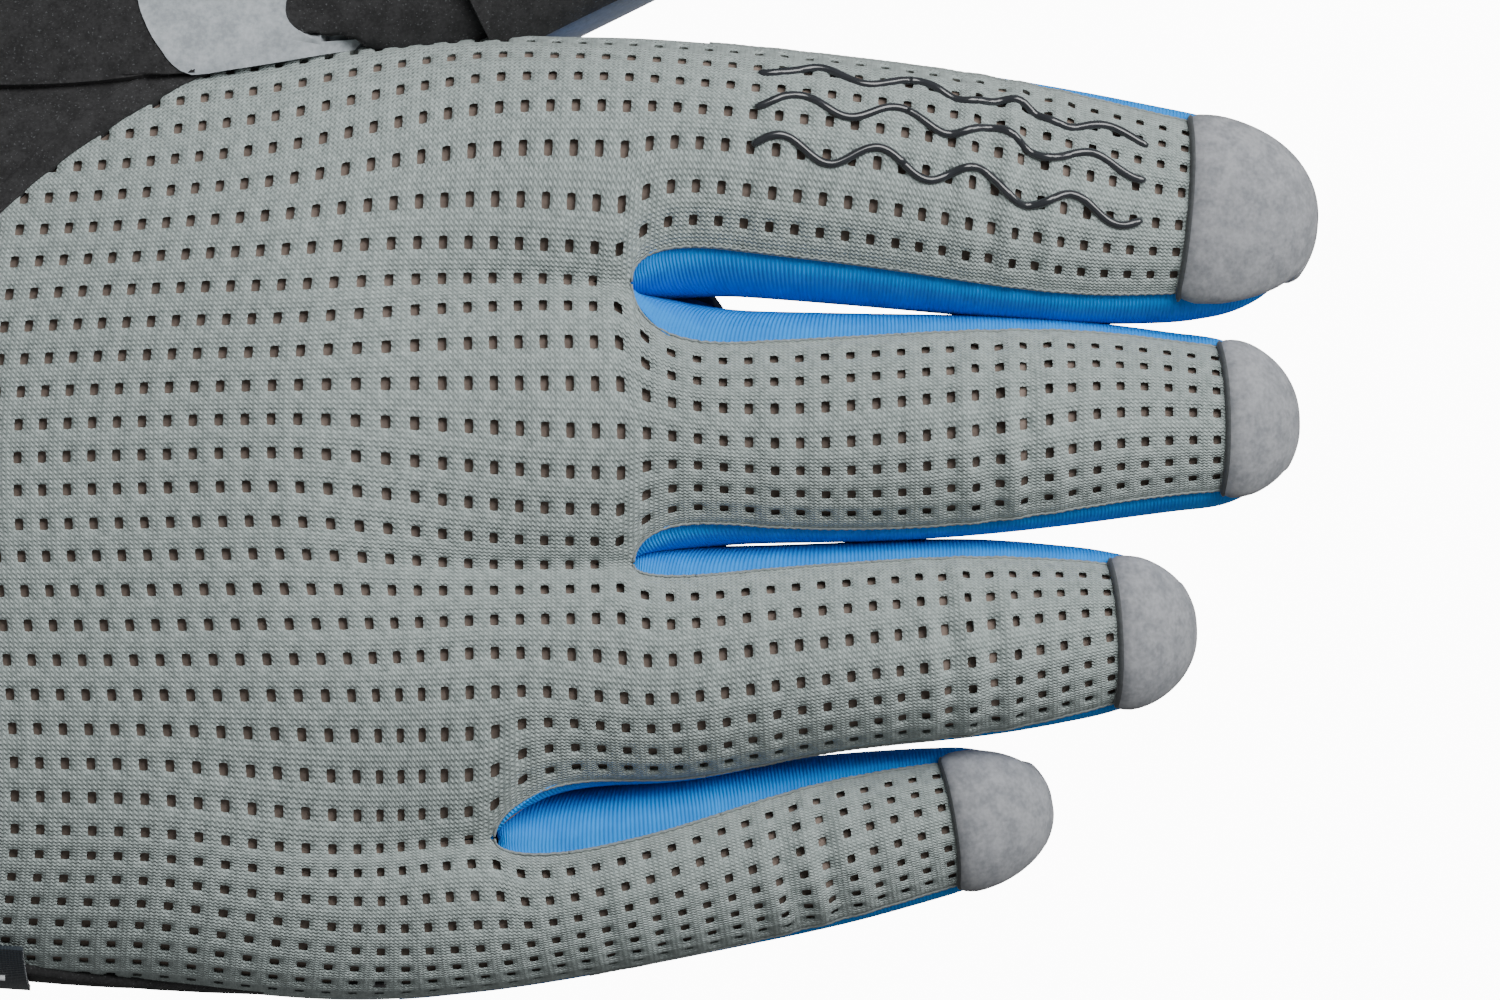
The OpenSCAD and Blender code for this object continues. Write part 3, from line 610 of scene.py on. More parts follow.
def backHand():
    # the four lanes of the hand as one sheet, parted at the crotches
    pitch, end = knitBack["pitch"], knitBack["handEnd"]
    allX = np.arange(end, knitBack["start"], -pitch)[::-1]
    grids = []
    for i in range(4):
        grid = lane(i, allX, shares)
        r, c = np.meshgrid(np.arange(len(allX)) * 1.0, np.arange(columns + 1) * 1.0, indexing="ij")
        over = i * columns + c
        calm = step((-16 - allX) / 14)[:, None]
        wander = knitBack["drift"] * np.sin(over * 0.31 + 0.8)
        drift = calm * (wander + 0.5 * knitBack["drift"] * np.sin(over * 0.13 + r * 0.21))
        grids.append(refine(grid, r + drift, c))
    parts, shadedSkins = [], []
    for i in range(4):
        rows = len(allX) - (knitBack["shortRows"] if i == 3 else 0)
        xs, grid = allX[:rows], grids[i][:rows]
        holes = np.ones(grid.shape[:2], bool)
        sides = [2 * grid[:, :1] - grid[:, 1:2], 2 * grid[:, -1:] - grid[:, -2:-1]]
        for j, web in ((0, i - 1), (columns, i)):
            if not 0 <= web < 3:
                holes[:, j] = False
                continue
            before = xs <= webs[web]["start"]
            holes[:, j] = xs < webs[web]["start"] - 2.2
            other = grids[i - 1][:rows, -2:-1] if j == 0 else grids[i + 1][:rows, 1:2]
            sides[j // columns][before] = other[before]
        after = lane(i, xs[-1:] + pitch, shares)
        corner = (i * columns * knitBack["gap"], xs[0])
        parts.append(punched(grid, holes, corner, None, sides, trueEdges(i, xs), (None, after)))
        # brown sheet below the knit: the wearer's skin seen through the holes, with painted shade
        under = grids[i][:rows][::-2][::-1][:, ::2] - [0, 0, knitBack["shadedSkin"]]
        shadedSkins.append(sheetFrom("backLining%d" % i, under, "shadedSkin", 0.3, 2))
    made = sewn("backKnit", parts, "knit", knitBack["thick"])
    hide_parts("back_mesh")
    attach(made, "hand")
    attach(joined("backLining", shadedSkins), "hand")


def lengths(a, b, pitch):
    # stations from a to b, evenly spaced at about the pitch
    return np.linspace(a, b, max(2, int(round((b - a) / pitch)) + 1))


def stationX(name, u):
    f = fingers[name]
    return f["base"][0] + u * cosOf(f)


cuts = {}   # lengths along each finger where its cloth is cut: at the hand, between the folds, under the cap
for name, f in fingers.items():
    handEnd = knitBack["handEnd"] - (knitBack["shortRows"] * knitBack["pitch"] if name == "little" else 0)
    first = -5 if name == "thumb" else (handEnd - f["base"][0]) / cosOf(f)
    cuts[name] = (first, (f["zones"][0][1] + f["zones"][1][0]) / 2, f["hem"] + 1.6)


def backGrid(i, level):
    name = order[i]
    us = lengths(cuts[name][level], cuts[name][level + 1], 2.35)
    return us, lane(i, stationX(name, us), shares)


def backFinger(i):
    name = order[i]
    for level, part in ((0, "lower"), (1, "upper")):
        us, grid = backGrid(i, level)
        holes = np.ones(grid.shape[:2], bool)
        holes[:, [0, columns]] = False
        if level:
            holes[-1] = False
        gap = us[1] - us[0]
        ends = [lane(i, stationX(name, np.array([u])), shares) for u in (us[0] - gap, us[-1] + gap)]
        p, f, c = punched(grid, holes, (i * columns * knitBack["gap"], 100), bunching(name, us), ends=ends)
        made = build(name + "Back" + part.capitalize(), p, f, "knit", c, knitBack["thick"])
        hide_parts(name + "_back_" + part)
        bends(made)
        # brown sheet below the knit: the wearer's skin seen through the holes, with painted shade
        under = lane(i, stationX(name, us), np.arange(5) / 4) - [0, 0, knitBack["shadedSkin"]]
        inner = sheetFrom(name + "Lining" + part.capitalize(), under, "shadedSkin", 0.3, 2)
        bends(inner)


backHand()
for i in range(4):
    backFinger(i)
print("knit back made")

# Blue stretch sides between the fingers

def sideEnd(name):
    # the blue sides run on past the start of the cap
    f = fingers[name]
    return mix(f["cap"], f["end"], 0.93)


# under: a strip's first and last share across, past its seams; drop: how far each crotch's root is lowered
stretch = {"thick": 0.8, "tuck": 0.5, "pocket": 2.4, "under": (-0.07, 1.06), "drop": (1.0, 1.0, 1.6)}


def wall(b, side, level):
    # side 0 is the finger before web b, side 1 the one after; rows run from the crotch outwards
    name = order[b + side]
    web = webs[b]
    t = np.linspace(*stretch["under"], 13)
    reach = stationX(name, cuts[name][1]) - web["start"]
    ds = reach * np.linspace(0, 1, 15) ** 1.6
    if level:
        ds = np.linspace(reach, stationX(name, sideEnd(name)) - web["start"], 20)
    rows = []
    for d in ds:
        q = np.sin(math.pi / 2 * math.sqrt(min(1, d / web["open"])))
        slant = web["slant"] * (1 - step(d / reach))
        both = []
        xb, xp = web["start"] + d, web["start"] + d + slant
        eb, ep = webEdge(b, xb), webEdge(b, xp, True)
        xs = mix(xb, xp, np.clip(t, 0, 1) ** 1.3)
        for s, n in ((0, order[b]), (1, order[b + 1])):
            g = fingers[n]
            u = (xs - g["base"][0]) / cosOf(g)
            a0, a1 = backSeam(n, 1 - s, u), palmSeam(1 - s, u) - (360 if s else 0)
            turn = mix(a0, a1, t)
            arc = onFinger(g, u, turn)
            ub, up = [(x - g["base"][0]) / cosOf(g) for x in (xb, xp)]
            start = onFinger(g, ub, backSeam(n, 1 - s, np.array(ub)))
            stop = onFinger(g, up, palmSeam(1 - s, np.array(up)) - (360 if s else 0))
            tt = np.clip(t, 0, 1)[:, None]
            both.append(arc + (eb[s] - start) * (1 - tt) ** 2 + (ep[s] - stop) * tt ** 2)
        row = mix(mix(both[0], both[1], web["lean"]), both[side], q)
        pocket = stretch["pocket"] * np.exp(-d / 4) * np.sin(math.pi * np.clip(t, 0, 1)) ** 1.5
        row[:, 0] -= pocket
        row[:, 2] -= stretch["drop"][b] * np.exp(-d / 0.8)   # below the knit where the two sides join
        rows.append(row)
    rows = np.array(rows)
    return rows if side == 0 else rows[:, ::-1]


def tucked(grid):
    # the strip's long edges go under the panels either side
    def lift(r, c):
        share = c / (grid.shape[1] - 1)
        edge = np.minimum(share, 1 - share)
        return -stretch["tuck"] * (1 - step((edge - 0.05) / 0.1))
    return lift


forks = ["fourchette_index_middle", "fourchette_middle_ring", "fourchette_ring_little"]
for b in range(3):
    for side in (0, 1):
        name = order[b + side]
        for level, part in ((0, "Lower"), (1, "Upper")):
            grid = wall(b, side, level)
            title = "web%d%s%s" % (b, name.capitalize(), part)
            made = sheetFrom(title, grid, "blue", stretch["thick"], 3, tucked(grid))
            bends(made)
            if level == 0 and side == 0:
                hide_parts(forks[b])
            if side == 0 or name == "little":
                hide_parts(name + "_sides_" + part.lower())
print("webs made")

# Outer sides of the index and little fingers


def outerSide(name, level):
    # rows from the hand outwards, each drawn to the knit's edge and the palm's
    i = order.index(name)
    side = 0 if name == "index" else 1
    f = fingers[name]
    if level == 0:
        xs = np.linspace(-21 if name == "index" else -24, stationX(name, cuts[name][1]), 15)
    else:
        xs = np.linspace(stationX(name, cuts[name][1]), stationX(name, sideEnd(name)), 20)
    t = np.linspace(*stretch["under"], 11)
    rows = []
    for x in xs:
        u, w = rootShare(name, x)
        hand = (clothEdge(x, 1), clothEdge(x, -1))
        if side:
            hand = (bodyShape["backEnd"], bodyShape["palmEnd"])
        turns = backSeam(name, side, u), palmSeam(side, u) - (0 if side else 360)
        start, stop = [laneRow(i, x, np.array([float(side)]), palm)[0] for palm in (False, True)]
        arc = mix(onHand(min(x, 0), mix(*hand, t)), onFinger(f, u, mix(*turns, t)), w)
        first, last = [np.array([np.interp(end, t, arc[:, k]) for k in range(3)]) for end in (0, 1)]
        tt = np.clip(t, 0, 1)[:, None]
        rows.append(arc + (start - first) * (1 - tt) ** 2 + (stop - last) * tt ** 2)
    rows = np.array(rows)
    return rows if side == 1 else rows[:, ::-1]


for name in ("index", "little"):
    for level, part in ((0, "Lower"), (1, "Upper")):
        grid = outerSide(name, level)
        made = sheetFrom(name + "Outer" + part, grid, "blue", stretch["thick"], 3, tucked(grid))
        bends(made)
        if level == 0:
            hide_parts(name + "_outer_side")
        if name == "index":
            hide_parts("index_sides_" + part.lower())
print("outer sides made")

# Tip caps

# bulge bows the seam out on the back; corner is the turn over which it swings round to the blue sides
tipCap = {"thick": 1.1, "proud": 0.3, "seam": 0.42, "bulge": 1.3, "corner": 9, "sides": 0.9}


def capStart(name, turn):
    # how far along the finger the cap begins: its seam on the back and the palm side, further out beside them
    f = fingers[name]
    t = np.radians(turn)
    onBack = f["hem"] + tipCap["bulge"] * (np.sin(t) - 0.3)
    start = np.where(np.sin(t) > 0, onBack, f["hem"] - 0.5 + 0.3 * np.sin(t))
    if name == "thumb":
        return f["hem"] + tipCap["bulge"] * np.sin(t)
    side = np.where(turn > 270, turn - 360, turn)
    a, b = [float(backSeam(name, k, np.array(f["hem"]))) for k in (0, 1)]
    high, low = bodyShape["palmSeams"]
    away = np.minimum(np.maximum(a - side, side - b), np.maximum(low - turn, turn - high))
    return mix(start, mix(f["cap"], f["end"], tipCap["sides"]), step(away / tipCap["corner"]))


def capGrid(name):
    # rings from the seam to the tip, closer together where the tip rounds over
    f = fingers[name]
    turn = np.linspace(0, 360, 97)[:-1]
    start = capStart(name, turn)
    yaw = math.radians(f["yaw"])
    ahead = np.array([math.cos(yaw), math.sin(yaw), 0])
    rows = []
    for k, a in enumerate(np.radians([0, 0, 8, 17, 26, 35, 44, 52, 60, 67, 73, 78, 82, 85, 87.5])):
        u = start + (f["end"] - 0.02 - start) * math.sin(a)
        edge = tipCap["proud"] * (1 if k else 0.1)
        rows.append(onFinger(f, u, turn, -edge) + ahead * edge * math.sin(a))
    return np.array(rows)


def cap(name):
    grid = capGrid(name)[:, ::-1]
    ni, nj = grid.shape[:2]
    points = np.concatenate([grid.reshape(-1, 3), grid[-1].mean(0, keepdims=True)])
    last = (ni - 1) * nj
    faces = [list(q) for q in gridFaces(ni, nj, True)]
    faces += [[last + j, last + (j + 1) % nj, ni * nj] for j in range(nj)]
    cloth = np.concatenate([clothOf(grid), [[0, 30]]])
    made = build(name + "Cap", points, faces, "suedeCap", cloth, tipCap["thick"])
    finer = made.modifiers.new("finer", "SUBSURF")
    finer.levels = finer.render_levels = 1
    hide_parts(name + "_tip_cap")
    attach(made, name + "_upper")
    hem = np.array(fingers[name]["hem"])
    a, b = (30, 150) if name == "thumb" else [float(backSeam(name, k, hem)) for k in (0, 1)]
    turn = np.linspace(a - 4, b + 4, 40)
    line = onFinger(fingers[name], capStart(name, np.clip(turn, a, b)) - 0.5, turn, -0.3)
    taper = np.sqrt(np.clip(np.minimum(turn - a + 5, b + 5 - turn) / 8, 0.05, 1))
    # dark tube along the cap's hem: the knit's turned edge, and painted shadow along the seam line
    seam = tube(name + "CapSeam", line, tipCap["seam"] * taper, "seam", 8)
    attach(seam, name + "_upper")


for name in fingers:
    cap(name)
print("caps made")

# Thread along the seams between knit and stretch

seamThread = {"radius": 0.15, "step": 0.4, "wave": 0.16, "rise": 0.05}


def seamLine(us, grid, c, lift):
    # a thread just inside a lane's edge, weaving from side to side
    run = float(us[-1] - us[0])
    n = max(4, int(abs(run) / seamThread["step"]))
    r = np.linspace(0, len(us) - 1, n)
    weave = 0.06 + seamThread["wave"] / knitBack["gap"] * (np.arange(n) % 2)
    cc = np.full(n, float(c)) + (1 if c == 0 else -1) * weave
    out = seamThread["rise"] + lift(r, cc)
    return refine(grid, r, cc) + facing(grid, r, cc) * np.reshape(out, (-1, 1))


def seams():
    for i, name in enumerate(order):
        for level, part in ((0, "Lower"), (1, "Upper")):
            us, grid = backGrid(i, level)
            lift = bunching(name, us)
            lines = [tube("line", seamLine(us, grid, c, lift), seamThread["radius"], "edge", 4)
                for c in (0, columns)]
            bends(joined(name + "Seam" + part, lines))
    lines = []
    for b in range(3):
        for side in (0, 1):
            i = b + side
            last = knitBack["handEnd"] - (knitBack["shortRows"] * knitBack["pitch"] if i == 3 else 0)
            xs = webs[b]["start"] + np.array([0, 0.15, 0.5, 1, 1.8, 3, 4.5, 6.5, 9, 12, 16, 20])
            xs = np.append(xs[xs < last - 0.2], last)
            grid = lane(i, xs, np.array([0, 0.04, 0.08]) if side else np.array([0.92, 0.96, 1]))
            n = int((last - xs[0]) / seamThread["step"] * 1.4)
            r = np.interp(np.linspace(0, 1, n), np.linspace(0, 1, len(xs)), np.arange(len(xs)))
            c = np.full(n, 0.2 if side else 1.8) + 0.15 * (np.arange(n) % 2) * (1 if side else -1)
            path = refine(grid, r, c) + facing(grid, r, c) * seamThread["rise"]
            lines.append(tube("line", path, seamThread["radius"], "edge", 4))
    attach(joined("crotchSeams", lines), "hand")


seams()

# Raised print on the index finger

wavePrint = {"from": 11, "to": 49, "lines": (-1.9, -0.5, 0.9), "swing": 0.3, "length": 9.5, "radius": 0.45}


def printLines():
    for level, part in ((0, "lower"), (1, "upper")):
        us, grid = backGrid(0, level)
        a, b = max(wavePrint["from"], us[0]), min(wavePrint["to"], us[-1])
        u = np.linspace(a, b, int((b - a) / 0.3))
        r = np.interp(u, us, np.arange(len(us)))
        lines = []
        for k, offset in enumerate(wavePrint["lines"]):
            wave = np.sin(2 * math.pi * (u + 1.5 * k) / wavePrint["length"])
            c = columns / 2 + offset + wavePrint["swing"] * wave
            out = -0.02 + bunching("index", us)(r, c)
            ends = np.minimum(1, np.minimum(u - wavePrint["from"] + 0.3, wavePrint["to"] + 0.3 - u) / 0.8)
            path = refine(grid, r, c) + facing(grid, r, c) * out[:, None]
            lines.append(tube("line", path, wavePrint["radius"] * np.sqrt(ends), "print", 10))
        made = joined("wavePrint" + part.capitalize(), lines)
        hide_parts("wave_print_" + part)
        bends(made)


printLines()
print("seams and print made")

# Palm

palmCloth = {"thick": 1.2, "start": -116, "ends": (6, 6, 6, -6)}   # ends: of each lane's part on the hand


def palmHand():
    across = np.linspace(0, 1, 7)
    xs = np.concatenate([np.arange(palmCloth["start"], -20, 6.0), np.arange(-20, 6.1, 2.0)])
    parts = []
    for i in range(4):
        use = xs[xs <= palmCloth["ends"][i]]
        grid = lane(i, use, across, True)[:, ::-1]
        down = np.linspace(0, len(use) - 1, (len(use) - 1) * 2 + 1)
        r, c = np.meshgrid(down, np.linspace(0, 6, 13), indexing="ij")
        p = refine(grid, r, c)
        uv = clothOf(p)
        uv[:, 0] = (3 - i) * 24 + c.ravel() * 4
        parts.append((p.reshape(-1, 3), gridFaces(*p.shape[:2]), uv))
    made = sewn("palmCloth", parts, "suedeGrey", palmCloth["thick"])
    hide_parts("palm_panel")
    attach(made, "hand")


def palmFinger(i):
    name = order[i]
    f = fingers[name]
    for level, part in ((0, "lower"), (1, "upper")):
        first = cuts[name][1] if level else (palmCloth["ends"][i] - f["base"][0]) / cosOf(f)
        us = lengths(first, cuts[name][level + 1], 2)
        grid = lane(i, stationX(name, us), np.linspace(0, 1, 7), True)[:, ::-1]

        def creases(r, c, us=us):
            u = np.interp(r, np.arange(len(us)), us)
            out = 0
            for at in f["fold"]:
                first, second = np.exp(-((u - at) / 0.8) ** 2), np.exp(-((u - at - 2.6) / 0.7) ** 2)
                out = out - 0.45 * first - 0.25 * second
            return out
        made = sheetFrom(name + "Palm" + part.capitalize(), grid, "suedeGrey", palmCloth["thick"], 3, creases)
        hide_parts("%s_palm_%s" % (name, part))
        bends(made)


palmHand()
for i in range(4):
    palmFinger(i)


def boxOf(node):
    # a node's box in the drawing's millimetres
    return [np.array(v) * 1000 - np.array([shift[0], shift[1], 0]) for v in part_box(node)]


def patch(name, node, corner=9, n=64):
    # a flat suede patch with rounded corners: n points on each ring, and a point in the middle of both faces
    lo, hi = boxOf(node)
    middle, half = (lo + hi)[:2] / 2, (hi - lo)[:2] / 2
    turn = np.arange(n) * 2 * math.pi / n
    rings = []
    p = np.stack([np.cos(turn), np.sin(turn)], 1)
    p = np.where(np.abs(p) < 1e-6, 0, np.sign(np.round(p, 6)) * (half - corner) + corner * p)
    outline = ((0.5, lo[2]), (0.9, lo[2]), (0.985, lo[2]), (1, lo[2] + 0.35), (1, hi[2] - 0.1), (0.97, hi[2]))
    for size, z in outline:
        rings.append(np.concatenate([middle + p * size, np.full((n, 1), z)], 1))
    grid = np.array(rings)
    points = np.concatenate([grid.reshape(-1, 3), [[*middle, lo[2]]], [[*middle, hi[2]]]])
    faces = gridFaces(6, n, True).tolist()
    faces += [[6 * n, (j + 1) % n, j] for j in range(n)]
    faces += [[6 * n + 1, 5 * n + j, 5 * n + (j + 1) % n] for j in range(n)]
    made = build(name, points, faces, "patch", points[:, :2])
    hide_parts(node)
    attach(made, "hand")


patch("palmPatch", "palm_patch")
patch("heelPatch", "heel_patch")
print("palm made")

# Thumb

thumbShape = {"back": (28, 152), "thick": 1.2, "backProud": 0.35}


def gussetRing(s, turn):
    # a curve from the edge of the thumb hole to the thumb's first ring, swelling over the ball of the thumb
    f = fingers["thumb"]
    t = np.radians(turn)
    x = thumbHole["middle"] - (thumbHole["half"] - 0.5) * np.cos(t)
    p0 = onHand(x, thumbHole["side"] + (thumbHole["turn"] + 1.5) * np.sin(t), -0.35)
    p3 = onFinger(f, -5, turn)
    a = math.radians(f["yaw"])
    p2 = p3 - np.array([math.cos(a), math.sin(a), 0]) * 13
    p1 = p0 + np.array([3, 5.5, 0]) + (p3 - p0) * 0.12
    s = np.asarray(s)[..., None]
    return (1 - s) ** 3 * p0 + 3 * (1 - s) ** 2 * s * p1 + 3 * (1 - s) * s**2 * p2 + s**3 * p3


def sector(a, b, n):
    # n turns, so that the panel faces outwards
    return np.linspace(a, b, n)[::-1]


def bandEdges(turn):
    # where the light band across the gusset begins and ends, as shares of the way from hand to thumb
    begin = along(turn, [[-72, 0.6], [15, 0.58], [68, 0.44], [87, 0.3], [97, 0.19], [110, 0]])
    end = along(turn, [[-72, 0.74], [15, 0.76], [68, 0.69], [85, 0.6], [98, 0.5], [140, 0.31], [152, 0.27],
        [200, 0.3], [290, 0.74]])
    return np.clip(begin, 0, 1), end


def gussetPanel(name, turns, low, high, mat, proud, finer=2, sunk=0):
    # part of the gusset between two shares; its edge to the hand lies lower by sunk
    def lift(r, c):
        return proud - sunk * (1 - step(r / 0.8))
    grid = np.array([gussetRing(mix(low, high, k), turns) for k in np.linspace(0, 1, 8)])
    made = sheetFrom(name, grid, mat, thumbShape["thick"], finer, lift)
    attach(made, "hand")
    return made


def thumbPieces():
    back, wrap = sector(*thumbShape["back"], 13), sector(150, 390, 25)
    turns = sector(-72, 152, 33)
    begin, end = bandEdges(turns)
    made = gussetPanel("gusset", turns, np.maximum(begin - 0.03, 0), end + 0.04, "suedeLight", 0.15)
    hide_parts("thumb_gusset")
    turns = sector(-72, 111, 27)
    gussetPanel("gussetWrist", turns, 0 * turns, bandEdges(turns)[0], "wrist", 0.25, 2, 0.15)
    turns = sector(149, 291, 27)
    gussetPanel("gussetPalm", turns, 0 * turns, bandEdges(turns)[1] + 0.04, "suedeGrey", 0.05)
    both = (("Back", back, "wrist", thumbShape["backProud"]), ("Wrap", wrap, "suedeGrey", 0.0))
    for piece, turns, mat, proud in both:
        low = bandEdges(np.where(turns > 290, turns - 360, turns))[1]
        gussetPanel("gusset" + piece, turns, low, 1.015 + 0 * turns, mat, proud + 0.15, 3)
        for level, part in ((0, "lower"), (1, "upper")):
            us = lengths(cuts["thumb"][level], cuts["thumb"][level + 1], 2)
            grid = np.array([onFinger(fingers["thumb"], u, turns, -proud - 0.15) for u in us])
            made = sheetFrom("thumb" + piece + part.capitalize(), grid, mat, thumbShape["thick"], 3)
            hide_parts("thumb_%s_%s" % ("back" if piece == "Back" else "palm", part))
            bends(made)


def overGusset(s, turn, rise):
    # points a little above the gusset's surface
    here = gussetRing(s, turn)
    n = np.cross(gussetRing(s, np.asarray(turn) - 0.5) - here, gussetRing(np.asarray(s) + 0.01, turn) - here)
    return here + n / np.linalg.norm(n, axis=-1, keepdims=True) * rise


def stitches(name, path, mat, length, gap, radius):
    # separate short threads along a path, each a small tube sunk at both ends
    path = np.asarray(path, float)
    run = runOf(path)
    made = []
    for start in np.arange(0.3, run[-1] - length, length + gap):
        at = np.linspace(start, start + length, 5)
        p = np.stack([np.interp(at, run, path[:, k]) for k in range(3)], 1)
        made.append(tube("stitch", p, radius * np.array([0.5, 1, 1, 1, 0.5]), mat, 5))
    return joined(name, made)


thumbPieces()
for k, beside in enumerate((4.5, 9.5)):   # two rows beside the wrist fabric's edge
    turn = np.linspace(109, 62, 40)
    row = overGusset(bandEdges(turn)[0], turn + beside, 0.25)
    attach(stitches("gussetStitch%d" % k, row, "thread", 1.5, 0.7, 0.15), "hand")
turn = np.linspace(34, 148, 60)
row = overGusset(bandEdges(turn)[1] + 0.035, turn, 0.6)
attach(stitches("wedgeStitch", row, "seam", 1.6, 0.8, 0.15), "hand")
print("thumb made")

# Wrist and cuff

# the seam to the knit lies at seamBack; to the thumb and the little finger it runs on by rise * share^bend
wristCloth = {"thick": 1.8, "over": 0.45, "cuff": -156, "seamBack": -68.5,
    "rise": (27.8, 33), "bend": (3.0, 11.0)}


def seamAt(s):
    # the seam to the knit, as a curve: furthest back in the middle of the hand
    share = (s - 2) / 2
    rise, bend = [np.where(share < 0, *wristCloth[key]) for key in ("rise", "bend")]
    return wristCloth["seamBack"] + rise * np.abs(share) ** bend


def wristBack():
    ss = np.linspace(0, 4, 33)
    rows = []
    for k in np.linspace(0, 1, 26):
        row = []
        for s in ss:
            x = mix(wristCloth["cuff"], seamAt(s), k)
            edge, inner, turn = handTurns(x, np.array([0, 1, s]))
            if s < 1:   # the cloth ends at the thumb hole, flush with the gusset
                low = max(edge, holeEdge(x, 1) + 0.3)
                turn = mix(low, inner, (turn - edge) / (inner - edge))
            row.append(onHand(x, turn, -wristCloth["over"] * step((k - 0.7) / 0.2) - 0.1))
        rows.append(row)
    grid = np.array(rows)
    made = sheetFrom("wristBack", grid, "wrist", wristCloth["thick"], 2)
    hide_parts("wrist_back_panel")
    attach(made, "hand")
    edge = []
    for s in np.linspace(0, 4, 120):
        x = seamAt(s)
        edge.append(onHand(x, handTurns(x, np.array([s])), -wristCloth["over"] + 0.15)[0])
    roll = tube("wristBackEdge", np.array(edge) - [0.3, 0, 0.2], 0.62, "wrist", 8)
    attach(roll, "hand")


def wristPanel(name, xs, turns, proud):
    grid = np.array([onHand(x, turn, -proud) for x, turn in zip(xs, turns)])
    return sheetFrom(name, grid, "wrist", wristCloth["thick"], 2)


def wristSides():
    # each panel from the turns at its xs, which run so that it faces outwards
    xs = [*range(-156, -125, 6), -122, -118, -114.5]
    palmTurns = [handTurns(x, np.linspace(0, 4, 25), True)[::-1] for x in xs]
    made = wristPanel("wristPalm", xs, palmTurns, 0.1)
    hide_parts("wrist_palm_panel")
    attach(made, "hand")
    xs = [*range(-156, -99, 8), *range(-90, -39, 10), -32, -24]
    made = wristPanel("ulnarSide", xs, [np.linspace(169, 199, 8)] * len(xs), 0.25)
    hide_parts("ulnar_side_panel")
    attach(made, "hand")
    xs = [*range(-156, -83, 8), -78]
    thumbTurns = [np.linspace(clothEdge(x, -1) - 3, clothEdge(x, 1) + 3, 6)[::-1] for x in xs]
    made = wristPanel("thumbSide", xs, thumbTurns, 0.2)
    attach(made, "hand")


cuffTape = {"along": 1.9, "out": 1.35}   # half sizes of the rolled tape's section


def binding():
    turn = np.linspace(0, 360, 73)
    path = onHand(wristCloth["cuff"], turn, 0.4) - np.array([1.6, 0, 0])
    profile = np.linspace(0, 2 * math.pi, 13)[:-1]
    out = onHand(wristCloth["cuff"], turn, 0) - onHand(wristCloth["cuff"], turn, 1)
    back = np.array([-1, 0, 0])
    grid = np.array([path + back * cuffTape["along"] * math.cos(a) + out * (cuffTape["out"] * math.sin(a))
        for a in profile])
    grid = np.concatenate([grid, grid[:1]])
    made = sheetFrom("cuffBinding", grid[:, ::-1], "webbing", 0, 2)
    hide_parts("cuff_binding")
    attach(made, "hand")


wristBack()
wristSides()
binding()

# Closure strap: x and turn give its place, lift its height above the hand, fold the turns beside its hinge
strapShape = {"x": (-136, -109), "turn": (38, 156.6), "lift": 2.75, "thick": 1.5, "fold": (153, 146)}


def wrapped(name, x, turn, lift, mat, thick, nx, nt, rounding=0):
    # a strip laid over the hand's oval at a height above it
    xs, ts = np.linspace(x[0], x[1], nx), np.linspace(turn[0], turn[1], nt)
    grid = np.array([onHand(a, ts, -lift) for a in xs])
    if rounding:
        share = np.clip(np.arange(nt) / (nt - 1) * nt / 3, 0, 1)
        squeeze = 1 - rounding * (1 - np.sqrt(share * (2 - share)))
        mid = (x[0] + x[1]) / 2
        grid[..., 0] = mid + (grid[..., 0] - mid) * squeeze
    return sheetFrom(name, grid, mat, thick, 2)


thick = strapShape["thick"]
outside = strapShape["lift"] + thick
strap = wrapped("strap", strapShape["x"], strapShape["turn"], outside, "webbing", thick, 5, 25, 0.25)
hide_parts("closure_strap", "strap_anchor")
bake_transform(strap)
for name, node, x, turn, lift, mat, thick, body in (
        ("strapHook", "strap_hook_patch", (-134, -111), (42, 84), 2.6, "loops", 0.8, "strap"),
        ("strapLoop", "strap_loop_patch", (-135, -110), (40, 112), 1.35, "loops", 0.9, "hand"),
        ("strapTab", "strap_pull_tab", (-131, -114), (25, 39), 4.7, "blue", 1.7, "strap")):
    made = wrapped(name, x, turn, lift, mat, thick, 5, 11, 0.2 if name == "strapTab" else 0)
    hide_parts(node)
    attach(made, body)
edge = [onHand(x, np.linspace(151, 156, 4), -outside - 0.1) for x in (-134, -111)]
outline = np.concatenate([edge[0], edge[1][::-1], edge[0][:1]])
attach(stitches("anchorStitch", outline, "white", 1.8, 0.8, 0.2), "hand")

# Woven label with a plain stripe, care label inside the cuff, hanging loop
label = wrapped("wovenLabel", (-75, -58), (150, 171), 1.25, "label", 0.5, 5, 9)
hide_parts("woven_label")
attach(label, "hand")
stripe = onHand(np.linspace(-73, -60, 20), 161, -1.35)
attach(tube("labelStripe", stripe, 0.32, "white", 6), "hand")
care = wrapped("careLabel", (-153, -134), (244, 262), -3.1, "care", 0.4, 4, 5)
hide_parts("care_label")
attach(care, "hand")

lo, hi = boxOf("hang_loop")
turn = np.linspace(0, 2 * math.pi, 49)
radius = (hi[0] - lo[0]) / 2 - 0.1
middle = (lo + hi) / 2
ring = np.stack([middle[0] + radius * np.cos(turn), 0 * turn, middle[2] + radius * np.sin(turn)], 1)
grid = np.array([ring + np.array([0, y, 0]) for y in np.linspace(hi[1], lo[1], 5)])
loop = sheetFrom("hangLoop", grid, "webbing", 1.2, 2)
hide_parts("hang_loop")
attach(loop, "hand")
print("wrist made")

# Camera, backdrop and light

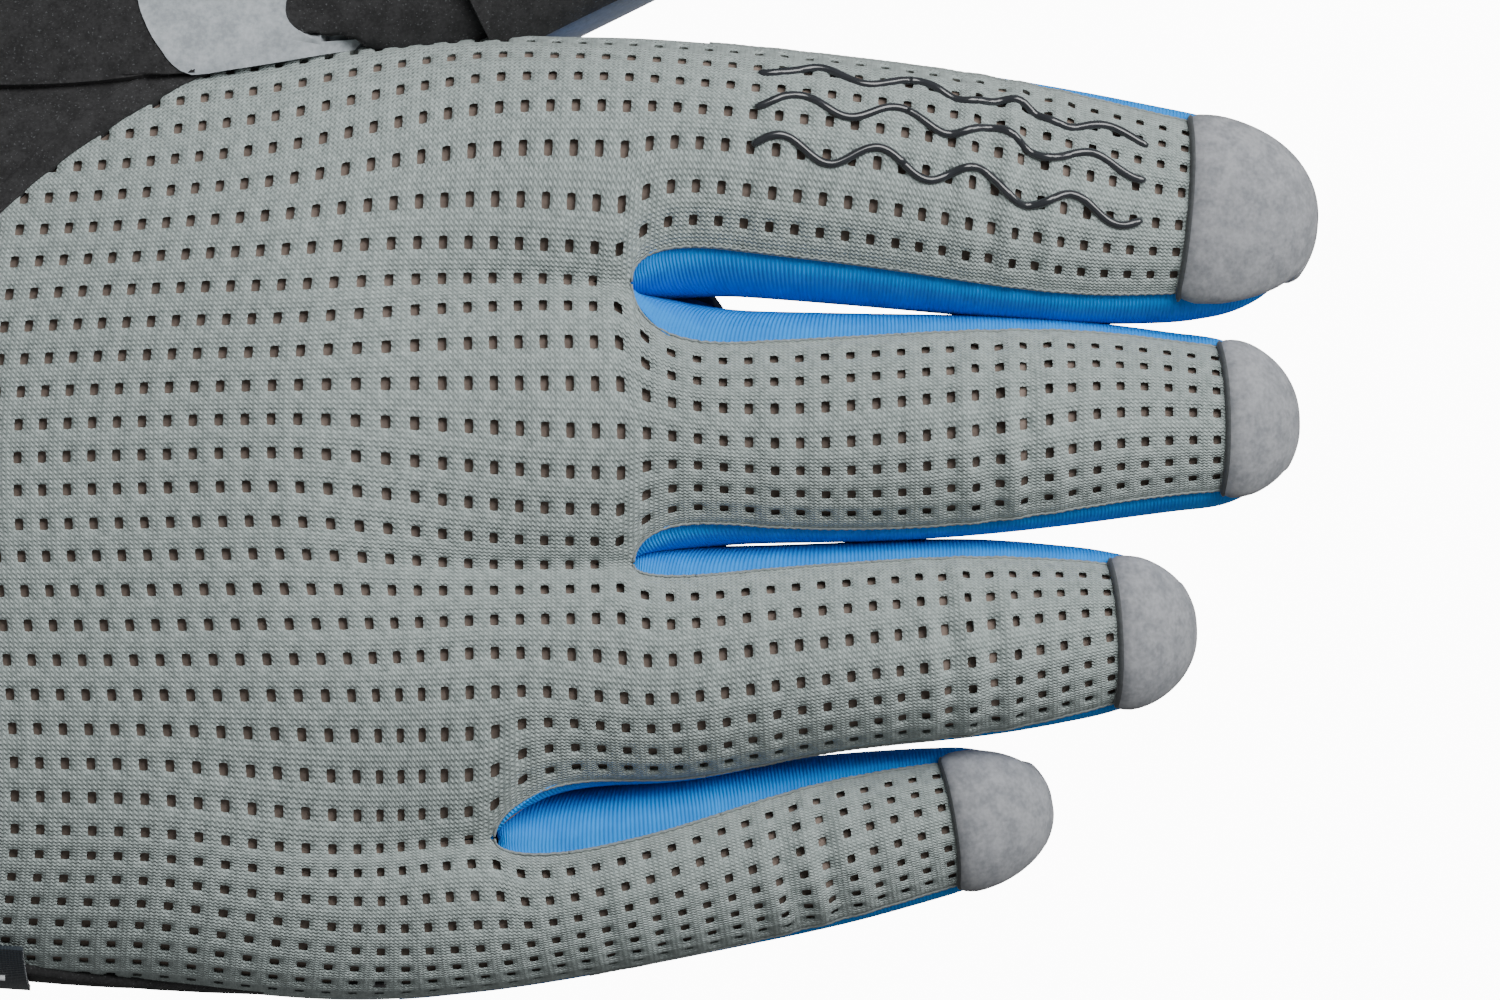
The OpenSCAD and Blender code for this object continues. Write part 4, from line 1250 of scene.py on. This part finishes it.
middleOfView = place([10.95, 0, 20])
lensData = bpy.data.cameras.new("camera")
camera = bpy.data.objects.new("camera", lensData)
bpy.context.scene.collection.objects.link(camera)
bpy.context.scene.camera = camera
lensData.sensor_width, lensData.lens = 36, 150
viewWide, knuckleHeight = 0.14286, 0.027   # metres across the view at the height of the knuckles
distance = viewWide * lensData.lens / lensData.sensor_width
camera.location = (middleOfView[0], middleOfView[1], knuckleHeight + distance)
lensData.clip_start = 0.05

paper = bpy.data.materials.new("white paper")
paper.use_nodes = True
paperShader = paper.node_tree.nodes["Principled BSDF"]
paperShader.inputs["Base Color"].default_value = (0.95, 0.95, 0.95, 1)
paperShader.inputs["Roughness"].default_value = 0.9
paperShader.inputs["Emission Color"].default_value = (1, 1, 1, 1)
paperShader.inputs["Emission Strength"].default_value = 12
room = 6   # metres from the object to the paper, which is on every side
corners = [(x, y, z) for z in (-room, room) for y in (-room, room) for x in (-room, room)]
walls = [(0, 1, 3, 2), (4, 6, 7, 5), (0, 4, 5, 1), (2, 3, 7, 6), (0, 2, 6, 4), (1, 5, 7, 3)]   # facing in
paperMesh = bpy.data.meshes.new("paper")
paperMesh.from_pydata(corners, [], walls)
paperMesh.materials.append(paper)
backdrop = bpy.data.objects.new("backdrop", paperMesh)
bpy.context.scene.collection.objects.link(backdrop)
backdrop.visible_diffuse = backdrop.visible_glossy = backdrop.visible_shadow = False   # it lights nothing
lampSet = (   # place, size, watts and colour
    ("key", (0.3, 0.36, 0.52), 0.4, 4.4, (1, 1, 1)),
    ("fill", (-0.3, -0.4, 0.5), 0.7, 0.2, (0.96, 0.98, 1)),
    ("right", (0.68, 0.28, 0.36), 0.4, 4.2, (1, 1, 1)))
for name, at, size, watts, tint in lampSet:
    data = bpy.data.lights.new(name, "AREA")
    data.size, data.energy, data.color = size, watts, tint
    lamp = bpy.data.objects.new(name, data)
    lamp.location = at
    look = -np.array(at) + np.array([0.05, 0, 0.02])
    lamp.rotation_mode = "QUATERNION"
    lamp.rotation_quaternion = mathutils.Vector(look).to_track_quat("-Z", "Y")
    bpy.context.scene.collection.objects.link(lamp)
world = bpy.data.worlds.new("studio")
bpy.context.scene.world = world
world.use_nodes = True
world.node_tree.nodes["Background"].inputs["Color"].default_value = (1, 1, 1, 1)
world.node_tree.nodes["Background"].inputs["Strength"].default_value = 0.21
